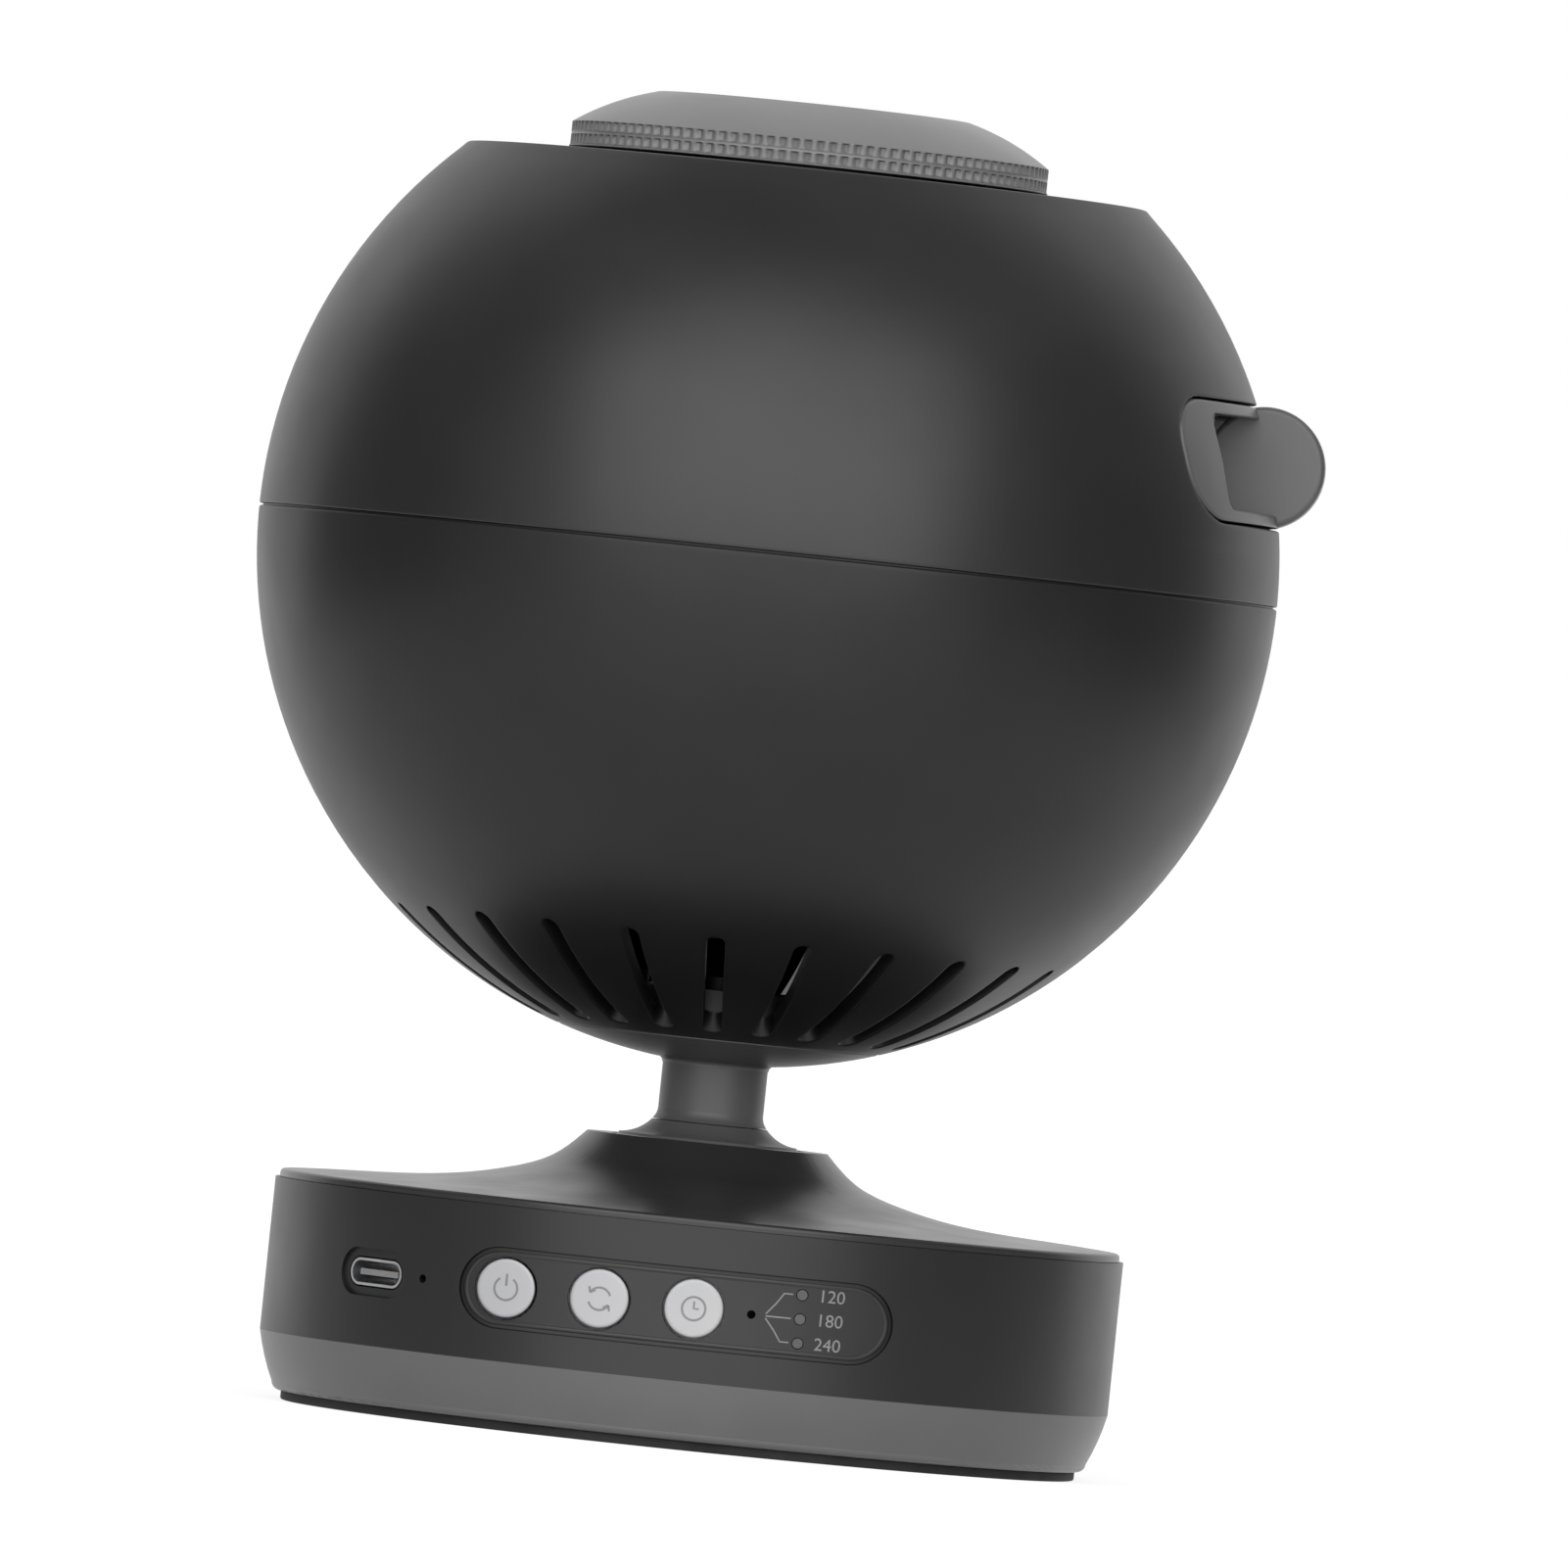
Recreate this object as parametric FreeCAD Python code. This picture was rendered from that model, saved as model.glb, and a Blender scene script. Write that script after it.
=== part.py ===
import FreeCAD, Part
import math
import os

# Desk planetarium projector: a sphere on a neck, standing in the ball socket of a round base.
# Millimetres. Origin at the middle of the foot's underside, +Z up, buttons towards -Y,
# film drawer towards +X. Heights called ..._h are measured from the middle of the sphere.

# --- heights above the table
foot_thickness = 1.1
base_split_z = 8.0
cover_seam_z = 26.0
collar_top_z = 35.1
pivot_z = 28.0
neck_parting_z = 37.3
head_z = 104.2

# --- fits and clearances
slip = 0.1
running = 0.06
clear = 0.3
thread_fit = 0.05

# --- base
base_radius = 50.0
base_wall = 2.2
base_floor = 2.0
foot_inset = 3.2
bottom_edge_inset = 2.0
bottom_edge_rise = 0.9
tongue_height = 1.6
tongue_wall = 1.1
rim_drop = 0.5
rim_inset = 1.0
rim_rise = 0.98
cover_wall = 2.3
collar_radius = 14.2
boss_post_radius = 3.5
boss_post_inset = 6.8
boss_post_angles = (-15, 35, 145, 195)
ballast_margin = 2.9
ballast_thickness = 3.0
ballast_hole_radius = 8.0
battery_depth = 14.0
battery_height = 13.0
battery_wall_gap = 4.7
battery_corner = 2.0
post_foot_rise = 2.6
post_foot_wall = 0.6
standoff_radius = 2.4
standoff_inset = 4.6
standoff_angle = 61.7
standoff_inner = (20.0, -18.0)
main_board_inset = 1.8
main_board_back_y = -13.0
base_screw_length = 10.0

# --- ball socket and neck
ball_radius = 12.8
ball_fit = 0.07
ball_cut_drop = 9.5
flare_radius = 10.45
flare_top_radius = 6.8
neck_radius = 6.2
spigot_radius = 4.9
lead_bore_radius = 3.5
mouth_clearance = 0.26
mouth_lip = 0.8
socket_ring_wall = 1.1
cup_wall = 0.9
cup_edge = 1.4
cup_hole_radius = 5.0
spring_height = 2.5
spring_hole_step = 3.0
spring_thickness = 0.9
spring_play = 0.05
retainer_thickness = 2.4
retainer_radius = 22.0
boss_wall = 2.5
lug_circle = 18.6
lug_radius = 3.2
lug_length = 6.0
nut_height = 2.1
neck_thread_depth = 0.7
nut_half_width = 5.7
nut_pocket_depth = 3.0
neck_flange_thickness = 2.6
neck_flange_radius = 21.0
neck_screw_circle = 13.0

# --- sphere
head_radius = 60.0
shell_wall = 2.2
seam_gap = 0.5
seam_tongue_height = 2.0
crown_h = 44.8
crown_rise = 0.35
cap_radius = 18.7
cap_fillet = 0.7
vent_count = 24
vent_width = 2.2
vent_inner_radius = 21.3
vent_outer_radius = 39.8
post_gap = 0.23
post_count = 4
post_radius = 3.0
post_pilot_depth = 9.0
sleeve_post_radius = 4.0

# --- control panel
panel_z = 16.5
panel_width = 50.4
panel_height = 9.5
panel_x = -0.1
panel_recess = 0.5
panel_thickness = 0.7
button_pitch = 11.0
button_first_x = -19.8
button_radius = 3.4
button_proud = 0.3
button_flange = 0.9
button_flange_thickness = 1.0
button_flange_gap = 0.2
button_travel = 0.8
button_names = ("button_power", "button_spin", "button_timer")
stem_radius = 1.5
switch_side = 6.0
switch_thickness = 3.4
board_thickness = 1.6
button_board_margin = 3.8
button_board_height = 13.0
sensor_x = 8.85
pin_hole_radius = 0.5
timer_led_x = 14.45
timer_led_pitch = 2.8
light_pipe_radius = 0.6
led_height = 0.8
led_half = 0.8

# --- charging socket
usb_angle = -46.0
usb_width = 8.94
usb_height = 3.16
usb_length = 7.3
usb_wall = 0.3
usb_clearance = 0.2
usb_recess_margin = 1.0
usb_recess_depth = 0.7
usb_setback = 0.5
charge_led_angle = -36.5
charge_led_inset = 6.5
usb_back_wall = 0.8
usb_tongue_width = 6.6
usb_tongue_thickness = 0.7

# --- deck, film drawer and film drive
deck_thickness = 2.5
deck_margin = 5.0
drawer_h = 16.2
drawer_width = 63.0
drawer_height = 13.8
drawer_corner = 6.0
drawer_depth = 16.0
drawer_travel = 82.0
pocket_width = 48.4
pocket_height = 11.0
pocket_corner = 1.5
pocket_floor = 6.5
grip_radius = 7.16
grip_inset = 3.15
grip_thickness = 8.0
grip_round = 0.7
tenon_height = 6.0
tenon_thickness = 3.0
tray_floor_drop = 4.9
tray_floor = 2.0
tray_half_width = 26.0
tray_side = 1.5
tray_side_height = 4.7
tray_rear_x = -25.0
tray_arm_hold = 6.5
tray_wall_height = 9.3
tray_wall = 2.0
tray_screw_y = 20.0
tray_screw_bite = 3.2
rail_wall = 2.0
rail_lip = 1.2
rail_front_gap = 2.5
rail_rear_inset = 11.8
rail_lug_x = 15.0
rail_lug_height = 3.0
rail_lug_half = 3.5
rail_lug_reach = 2.8
rail_end_gap = 4.0
light_hole_radius = 17.0
collar_wall = 1.0
collar_height = 1.7
gear_module = 0.8
carrier_teeth = 56
pinion_teeth = 12
gear_backlash = 0.12
carrier_height = 4.0
carrier_ledge = 0.9
film_radius = 20.0
film_thickness = 0.4
film_window_radius = 16.0
clamp_width = 1.8
clamp_height = 0.8
pinion_height = 3.6
shaft_radius = 1.0
shaft_hole_gap = 1.5
motor_width = 12.0
motor_depth = 10.0
gearbox_height = 9.5
motor_length = 16.0
motor_ear = 4.5
motor_ear_half = 2.6
motor_ear_thickness = 2.0
motor_shaft_depth = 5.5

# --- lamp
sink_gap = 6.05
lamp_bore_radius = 15.0
lamp_wall = 2.0
lamp_flange_radius = 24.0
lamp_flange_thickness = 2.2
lamp_screw_circle = 20.5
lamp_screw_angles = (0, 110, -110)
lamp_foot_radius = 21.5
lamp_foot_thickness = 2.0
ledge_width = 1.2
condenser_rear_rise = 11.0
condenser_front_drop = 6.5
condenser_edge = 2.0
condenser_crown = 4.0
sink_radius = 21.5
sink_base = 3.0
sink_depth = 20.0
fin_count = 9
fin_thickness = 1.2
sink_screw_circle = 18.8
led_board_radius = 14.6
led_side = 5.0
led_dome_radius = 2.2

# --- focus ring and projection lens
ring_clearance = 0.3
ring_foot_radius = 28.8
ring_band_radius = 28.1
ring_top_h = 52.9
ring_top_radius = 18.8
ring_shoulder_radius = 24.7
ring_shoulder_drop = 2.4
knurl_count = 120
knurl_depth = 0.45
knurl_row_height = 1.15
knurl_groove = 0.35
knurl_low_h = 45.75
ring_opening_radius = 16.2
ring_lip = 1.0
sleeve_bore = 17.5
sleeve_wall = 1.5
sleeve_bottom_h = 33.0
barrel_wall = 1.9
barrel_bottom_h = 22.0
barrel_flange_radius = 34.0
barrel_flange_h = 36.5
barrel_flange_thickness = 2.0
barrel_screw_circle = 29.5
clip_height = 1.0
clip_depth = 0.7
clip_reach = 1.5
clip_gap_deg = 24.0
cell_top_h = 48.5
cell_wall = 1.2
cell_bottom_h = 20.5
cell_throat_h = 33.0
cell_cone = 4.0
rear_lens_radius = 12.0
front_lens_seat_h = 43.2
front_lens_edge = 1.6
front_lens_crown = 2.6
rear_lens_seat_h = 24.0
rear_lens_edge = 2.0
rear_lens_crown = 1.6
retainer_ring_height = 1.2
key_width = 3.0
key_height = 4.0
key_low_h = 26.0
lens_travel = 2.5

# --- screws
screw_shank = 1.2
screw_head = 2.2
screw_head_height = 1.5
screw_hole = screw_shank + 0.2
screw_pilot = screw_shank + thread_fit
screw_grip = 4.0

# --- derived sizes
base_inner = base_radius - base_wall
floor_z = foot_thickness + base_floor
foot_radius = base_radius - foot_inset
bottom_edge_radius = base_radius - bottom_edge_inset
boss_post_circle = base_inner - boss_post_inset
ballast_radius = boss_post_circle - boss_post_radius - post_foot_wall - ballast_margin
battery_back_y = retainer_radius + clear + battery_depth
battery_length = 2 * math.sqrt((base_inner - battery_wall_gap) ** 2 - battery_back_y**2)
battery_size = (battery_length, battery_depth, battery_height)
main_board_radius = base_inner - main_board_inset
reach = 2 * head_radius
head_inner = head_radius - shell_wall
rail_outer_y = tray_half_width + clear + rail_wall
post_circle = math.sqrt(2) * (rail_outer_y + post_gap + sleeve_post_radius)
deck_radius = post_circle + deck_margin
drawer_back_x = head_radius - drawer_depth
pocket_floor_x = drawer_back_x + pocket_floor
grip_x = head_radius - grip_inset
rail_end_x = drawer_back_x - rail_front_gap
rail_rear_x = rail_rear_inset - head_inner
tray_arm_rear_x = rail_end_x - tray_arm_hold - drawer_travel
gear_pitch_radius = gear_module * carrier_teeth / 2
pinion_pitch_radius = gear_module * pinion_teeth / 2
pinion_x = -(gear_pitch_radius + pinion_pitch_radius)
tray_bottom_h = drawer_h - tray_floor_drop
tray_top_h = tray_bottom_h + tray_floor
deck_top_h = tray_bottom_h - clear
deck_bottom_h = deck_top_h - deck_thickness
carrier_bottom_h = tray_top_h + slip
film_seat_h = tray_top_h + collar_height + slip + carrier_ledge
collar_outer = light_hole_radius + collar_wall
ring_seat_radius = ball_radius + ball_fit + socket_ring_wall
boss_bore = ring_seat_radius + slip
boss_outer = boss_bore + boss_wall
lip_bottom_z = collar_top_z - mouth_lip
mouth_radius = math.sqrt(ball_radius**2 - (lip_bottom_z - pivot_z) ** 2) + mouth_clearance
cup_hole_z = pivot_z - math.sqrt((ball_radius + ball_fit) ** 2 - cup_hole_radius**2)
cup_bottom_z = cup_hole_z - cup_edge
retainer_top_z = cup_bottom_z - spring_height - 2 * spring_play
retainer_bottom_z = retainer_top_z - retainer_thickness
ball_cut_z = pivot_z - ball_cut_drop
nut_top_z = ball_cut_z + nut_pocket_depth - slip
cap_hole_radius = cap_radius + slip
neck_thread_radius = spigot_radius - neck_thread_depth
nut_corner_radius = nut_half_width / math.cos(math.radians(30))
shell_rim_h = slip - math.sqrt(head_inner**2 - neck_flange_radius**2)
lamp_bottom_h = shell_rim_h + neck_flange_thickness + sink_gap + sink_depth
condenser_seats = (lamp_bottom_h + condenser_rear_rise, deck_bottom_h - condenser_front_drop)
sleeve_outer = sleeve_bore + sleeve_wall
barrel_bore = sleeve_outer + running
barrel_relief = sleeve_outer + clip_reach + clear
barrel_outer = barrel_relief + barrel_wall
crown_hole = barrel_outer + slip
crown_top_h = crown_h + crown_rise
ring_bottom_h = crown_top_h + ring_clearance
ring_shoulder_h = ring_top_h - ring_shoulder_drop
clip_top_h = barrel_flange_h - barrel_flange_thickness - clear
cell_radius = sleeve_bore - running
cell_bore = cell_radius - cell_wall
button_xs = [button_first_x + i * button_pitch for i in range(len(button_names))]
panel_floor_radius = base_radius - panel_recess - panel_thickness
panel_face_radius = base_radius - panel_recess
button_outer_reach = max(abs(x) for x in button_xs) + button_radius + button_flange
flange_back_y = button_flange_gap + button_flange_thickness - math.sqrt(
    base_inner**2 - button_outer_reach**2)
switch_front_y = flange_back_y + button_travel + clear
switch_well = button_travel + 2 * clear
board_front_y = switch_front_y + switch_thickness
button_board_y = board_front_y + board_thickness
main_board_z = panel_z - usb_height / 2 - board_thickness
usb_mouth_radius = base_radius - usb_recess_depth


# --- shape helpers
def vec(x, y, z):
    return FreeCAD.Vector(x, y, z)


def rod(radius, low, high, x=0.0, y=0.0):
    """Upright cylinder between two heights."""
    return Part.makeCylinder(radius, high - low, vec(x, y, low))


def rod_y(radius, y_low, y_high, x, z):
    """Cylinder along Y between two depths."""
    return Part.makeCylinder(radius, y_high - y_low, vec(x, y_low, z), vec(0, 1, 0))


def rod_x(radius, x_low, x_high, y, z):
    return Part.makeCylinder(radius, x_high - x_low, vec(x_low, y, z), vec(1, 0, 0))


def tube(r_in, r_out, low, high, x=0.0, y=0.0):
    return rod(r_out, low, high, x, y).cut(rod(r_in, low - 1, high + 1, x, y))


def block(x_low, x_high, y_low, y_high, z_low, z_high):
    size = (x_high - x_low, y_high - y_low, z_high - z_low)
    return Part.makeBox(*size, vec(x_low, y_low, z_low))


def turned(outline):
    """Solid of revolution about Z from a closed half-section.

    Each step after the first is ("line", end), ("arc", through, end) or ("curve", [points])."""
    at = [vec(outline[0][0], 0, outline[0][1])]
    edges = []
    for step in outline[1:]:
        if step[0] == "curve":
            points = [at[-1]] + [vec(r, 0, z) for r, z in step[1]]
            curve = Part.BSplineCurve()
            curve.interpolate(points)
            edges.append(curve.toShape())
        else:
            points = [at[-1]] + [vec(r, 0, z) for r, z in step[1:]]
            maker = Part.LineSegment if step[0] == "line" else Part.Arc
            edges.append(maker(*points).toShape())
        at.append(points[-1])
    edges.append(Part.LineSegment(at[-1], at[0]).toShape())
    face = Part.Face(Part.Wire(edges))
    return face.revolve(vec(0, 0, 0), vec(0, 0, 1), 360)


def turned_lines(points):
    return turned([points[0]] + [("line", point) for point in points[1:]])


def on_sphere(radius, r, side=1):
    """Half-section point on a sphere about the head's middle, at distance r from the axis."""
    return (r, side * math.sqrt(radius**2 - r**2))


def around(shape, count, start=0.0):
    """Copies of a shape spaced evenly about Z."""
    copies = []
    for i in range(count):
        copy = shape.copy()
        copy.rotate(vec(0, 0, 0), vec(0, 0, 1), start + i * 360.0 / count)
        copies.append(copy)
    return copies


def turn_z(shape, degrees):
    copy = shape.copy()
    copy.rotate(vec(0, 0, 0), vec(0, 0, 1), degrees)
    return copy


def polar(radius, degrees):
    """X and Y of a point at an angle measured from the front (-Y), positive towards +X."""
    a = math.radians(degrees)
    return (radius * math.sin(a), -radius * math.cos(a))


def slot_outline(width, height, corner):
    """Closed wire of a rounded rectangle in local x and y, centred on the origin."""
    a = width / 2
    b = height / 2
    k = corner * math.sqrt(0.5)
    edges = []
    corners = [(a, b, 1, 1), (-a, b, -1, 1), (-a, -b, -1, -1), (a, -b, 1, -1)]
    ends = []
    for i, (x, y, sx, sy) in enumerate(corners):
        upright = (x, y - sy * corner)
        level = (x - sx * corner, y)
        middle = (x - sx * (corner - k), y - sy * (corner - k))
        first, last = (upright, level) if i % 2 == 0 else (level, upright)
        ends.append((first, last))
        edges.append(Part.Arc(vec(*first, 0), vec(*middle, 0), vec(*last, 0)).toShape())
    for i in range(4):
        start = ends[i][1]
        stop = ends[(i + 1) % 4][0]
        if math.dist(start, stop) > 1e-6:
            edges.append(Part.LineSegment(vec(*start, 0), vec(*stop, 0)).toShape())
    return Part.Wire(Part.__sortEdges__(edges))


def slot_prism(width, height, corner, length):
    """Rounded bar along local +Z from the origin."""
    return Part.Face(slot_outline(width, height, corner)).extrude(vec(0, 0, length))


def facing_x(shape, x, z):
    """Lay a local prism along +X, its width along Y and its height along Z."""
    shape = shape.copy()
    shape.rotate(vec(0, 0, 0), vec(0, 0, 1), 90)
    shape.rotate(vec(0, 0, 0), vec(0, 1, 0), 90)
    shape.translate(vec(x, 0, z))
    return shape


def facing_y(shape, x, y, z):
    """Lay a local prism along -Y, its width along X and its height along Z."""
    shape = shape.copy()
    shape.rotate(vec(0, 0, 0), vec(1, 0, 0), 90)
    shape.translate(vec(x, y, z))
    return shape


def screw(x, y, seat_z, length, up=1):
    """Pan-head screw. Its head stands below the seat when it points up, above it otherwise."""
    if up > 0:
        shank = rod(screw_shank, seat_z, seat_z + length, x, y)
        head = rod(screw_head, seat_z - screw_head_height, seat_z, x, y)
    else:
        shank = rod(screw_shank, seat_z - length, seat_z, x, y)
        head = rod(screw_head, seat_z, seat_z + screw_head_height, x, y)
    return shank.fuse(head).removeSplitter()


def circle_point(radius, degrees):
    a = math.radians(degrees)
    return (radius * math.cos(a), radius * math.sin(a))


def ring_of(radius, count, start=0.0):
    """Points on a circle, evenly spaced."""
    return [circle_point(radius, start + i * 360.0 / count) for i in range(count)]


def lifted(shape):
    """Head pieces are drawn about the middle of the sphere and lifted to their place."""
    copy = shape.copy()
    copy.translate(vec(0, 0, head_z))
    return copy


# --- base
def rubber_foot():
    return rod(foot_radius, 0, foot_thickness)


post_points = [circle_point(boss_post_circle, a) for a in boss_post_angles]
standoff_front = polar(base_inner - standoff_inset, standoff_angle)
standoff_points = [(side * x, y) for x, y in (standoff_front, standoff_inner) for side in (-1, 1)]
post_foot_z = floor_z + post_foot_rise
lug_points = ring_of(lug_circle, 3, 30)
neck_screw_points = ring_of(neck_screw_circle, 3, 30)


def base_bottom():
    edge_z = foot_thickness + bottom_edge_rise
    mid_z = (edge_z + base_split_z) / 2
    mid_radius = (bottom_edge_radius + base_radius) / 2 + 0.2
    shell = turned([
        (0, foot_thickness),
        ("line", (bottom_edge_radius - bottom_edge_rise, foot_thickness)),
        ("arc", (bottom_edge_radius - 0.3, foot_thickness + 0.25), (bottom_edge_radius, edge_z)),
        ("arc", (mid_radius, mid_z), (base_radius, base_split_z)),
        ("line", (base_inner - slip, base_split_z)),
        ("line", (base_inner - slip, base_split_z + tongue_height)),
        ("line", (base_inner - slip - tongue_wall, base_split_z + tongue_height)),
        ("line", (base_inner - slip - tongue_wall, floor_z)),
        ("line", (0, floor_z)),
    ])
    for x, y in post_points:
        shell = shell.fuse(rod(boss_post_radius + post_foot_wall, floor_z - 0.5, post_foot_z, x, y))
    for x, y in standoff_points:
        shell = shell.fuse(rod(standoff_radius, floor_z - 0.5, main_board_z, x, y))
        shell = shell.cut(rod(screw_pilot, main_board_z - screw_grip - 1, main_board_z + 1, x, y))
    for x, y in post_points:
        seat = post_foot_z - screw_grip / 2
        shell = shell.cut(rod(screw_head + 0.3, 0, seat, x, y))
        shell = shell.cut(rod(screw_hole, 0, post_foot_z + 1, x, y))
    return shell.removeSplitter()


def ballast_plate():
    plate = tube(ballast_hole_radius, ballast_radius, floor_z, floor_z + ballast_thickness)
    for x, y in standoff_points:
        plate = plate.cut(rod(standoff_radius + clear, 0, reach, x, y))
    return plate


def battery_pack():
    low = floor_z + ballast_thickness
    length, depth, height = battery_size
    pack = block(-length / 2, length / 2, battery_back_y - depth, battery_back_y,
                 low, low + height)
    long_edges = [e for e in pack.Edges if abs(e.tangentAt(e.FirstParameter).x) > 0.9]
    return pack.makeFillet(battery_corner, long_edges)


def main_board():
    board = rod(main_board_radius, main_board_z, main_board_z + board_thickness)
    front = button_board_y + clear
    keep = block(-reach, reach, front, main_board_back_y, main_board_z, main_board_z + board_thickness)
    board = board.common(keep)
    gap = lug_circle + lug_radius + 2 * clear
    board = board.cut(rod(gap, 0, reach))
    for x, y in post_points:
        board = board.cut(rod(boss_post_radius + 2 * clear, 0, reach, x, y))
    for x, y in standoff_points:
        board = board.cut(rod(screw_hole, 0, reach, x, y))
    return board


def button_board():
    low = panel_z - button_board_height / 2
    return block(button_first_x - button_board_margin, timer_led_x + button_board_margin,
                 board_front_y, button_board_y, low, low + button_board_height)


def tact_switches():
    switches = []
    half = switch_side / 2
    for x in button_xs:
        body = block(x - half, x + half, switch_front_y, board_front_y,
                     panel_z - half, panel_z + half)
        well = rod_y(stem_radius + clear, switch_front_y - 1, switch_front_y + switch_well,
                     x, panel_z)
        switches.append(body.cut(well))
    return Part.makeCompound(switches)


def timer_rows():
    return [panel_z + i * timer_led_pitch for i in (-1, 0, 1)]


def indicator_leds():
    leds = []
    for z in timer_rows():
        leds.append(block(timer_led_x - led_half, timer_led_x + led_half,
                          board_front_y - led_height, board_front_y, z - led_half, z + led_half))
    x, y = polar(base_inner - charge_led_inset, charge_led_angle)
    low = main_board_z + board_thickness
    leds.append(block(x - led_half, x + led_half, y - led_half, y + led_half, low,
                      low + led_height))
    return Part.makeCompound(leds)


def light_pipe():
    face = rod(panel_face_radius - slip, 0, cover_seam_z)
    wall_y = -math.sqrt(base_inner**2 - (timer_led_x + 2.0) ** 2)
    back_y = board_front_y - led_height - 0.2
    pipe = block(timer_led_x - 1.2, timer_led_x + 1.2, wall_y + 0.2, wall_y + 1.8,
                 panel_z - timer_led_pitch - 1.0, panel_z + timer_led_pitch + 1.0)
    for z in timer_rows():
        light = rod_y(light_pipe_radius, -reach, back_y, timer_led_x, z).common(face)
        pipe = pipe.fuse(light)
    return pipe.removeSplitter()


def panel_shape(grow):
    prism = slot_prism(panel_width + 2 * grow, panel_height + 2 * grow,
                       panel_height / 2 + grow - 0.01, reach)
    return facing_y(prism, panel_x, -base_radius / 2, panel_z)


def panel_holes():
    holes = []
    for x in button_xs:
        holes.append(rod_y(button_radius + clear, -reach, 0, x, panel_z))
    for z in timer_rows():
        holes.append(rod_y(light_pipe_radius + slip, -reach, 0, timer_led_x, z))
    holes.append(rod_y(pin_hole_radius, -reach, 0, sensor_x, panel_z))
    return holes


def usb_bar(width, height, r_low, r_high):
    """Flat-sided bar on the charging socket's radial axis, between two distances."""
    bar = slot_prism(width, height, height / 2 - 0.01, r_high - r_low)
    bar = facing_y(bar, 0, -r_low, panel_z)
    return turn_z(bar, usb_angle)


def base_housing():
    wall = tube(base_inner, base_radius, base_split_z, cover_seam_z)
    floor_band = tube(panel_floor_radius, base_radius + 1, base_split_z, cover_seam_z)
    wall = wall.cut(floor_band.common(panel_shape(0)))
    for hole in panel_holes():
        wall = wall.cut(hole)
    opening = 2 * usb_clearance
    wall = wall.cut(usb_bar(usb_width + opening, usb_height + opening, base_radius / 2, reach))
    recess = opening + 2 * usb_recess_margin
    wall = wall.cut(usb_bar(usb_width + recess, usb_height + recess,
                            base_radius - usb_recess_depth, reach))
    pin = turn_z(rod_y(pin_hole_radius, -reach, 0, 0, panel_z), charge_led_angle)
    return wall.cut(pin)


def control_panel():
    plate = tube(panel_floor_radius + thread_fit, panel_face_radius, base_split_z, cover_seam_z)
    plate = plate.common(panel_shape(-slip))
    for hole in panel_holes():
        plate = plate.cut(hole)
    return plate


def push_button(x):
    edge_x = abs(x) + button_radius + button_flange
    flange_y = button_flange_gap - math.sqrt(base_inner**2 - edge_x**2)
    cap = rod_y(button_radius, -reach, flange_y + button_flange_thickness, x, panel_z)
    cap = cap.common(rod(panel_face_radius + button_proud, 0, reach))
    flange = rod_y(button_radius + button_flange, flange_y, flange_y + button_flange_thickness,
                   x, panel_z)
    stem = rod_y(stem_radius, flange_y, switch_front_y + slip, x, panel_z)
    return cap.fuse([flange, stem]).removeSplitter()


def usb_socket():
    shell = usb_bar(usb_width, usb_height, usb_mouth_radius - usb_length, usb_mouth_radius)
    hollow = usb_bar(usb_width - 2 * usb_wall, usb_height - 2 * usb_wall,
                     usb_mouth_radius - usb_length + usb_back_wall, usb_mouth_radius + 1)
    return shell.cut(hollow)


def usb_tongue():
    front = -(usb_mouth_radius - usb_setback)
    back = -(usb_mouth_radius - usb_length + usb_back_wall)
    half = usb_tongue_width / 2
    low = panel_z - usb_tongue_thickness / 2
    tongue = block(-half, half, front, back, low, low + usb_tongue_thickness)
    return turn_z(tongue, usb_angle)


# Cove of the base cover, as shares of the way in from its rim and up to its collar.
cove_shares = [(0, 0), (0.316, 0.076), (0.601, 0.206), (0.767, 0.372), (0.891, 0.587), (0.961, 0.828)]


def cove_point(inward, upward):
    r = base_radius - rim_inset + inward * (collar_radius - base_radius + rim_inset)
    z = cover_seam_z + rim_rise + upward * (collar_top_z - cover_seam_z - rim_rise)
    return (r, z)


cove = [cove_point(*share) for share in cove_shares]


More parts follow.
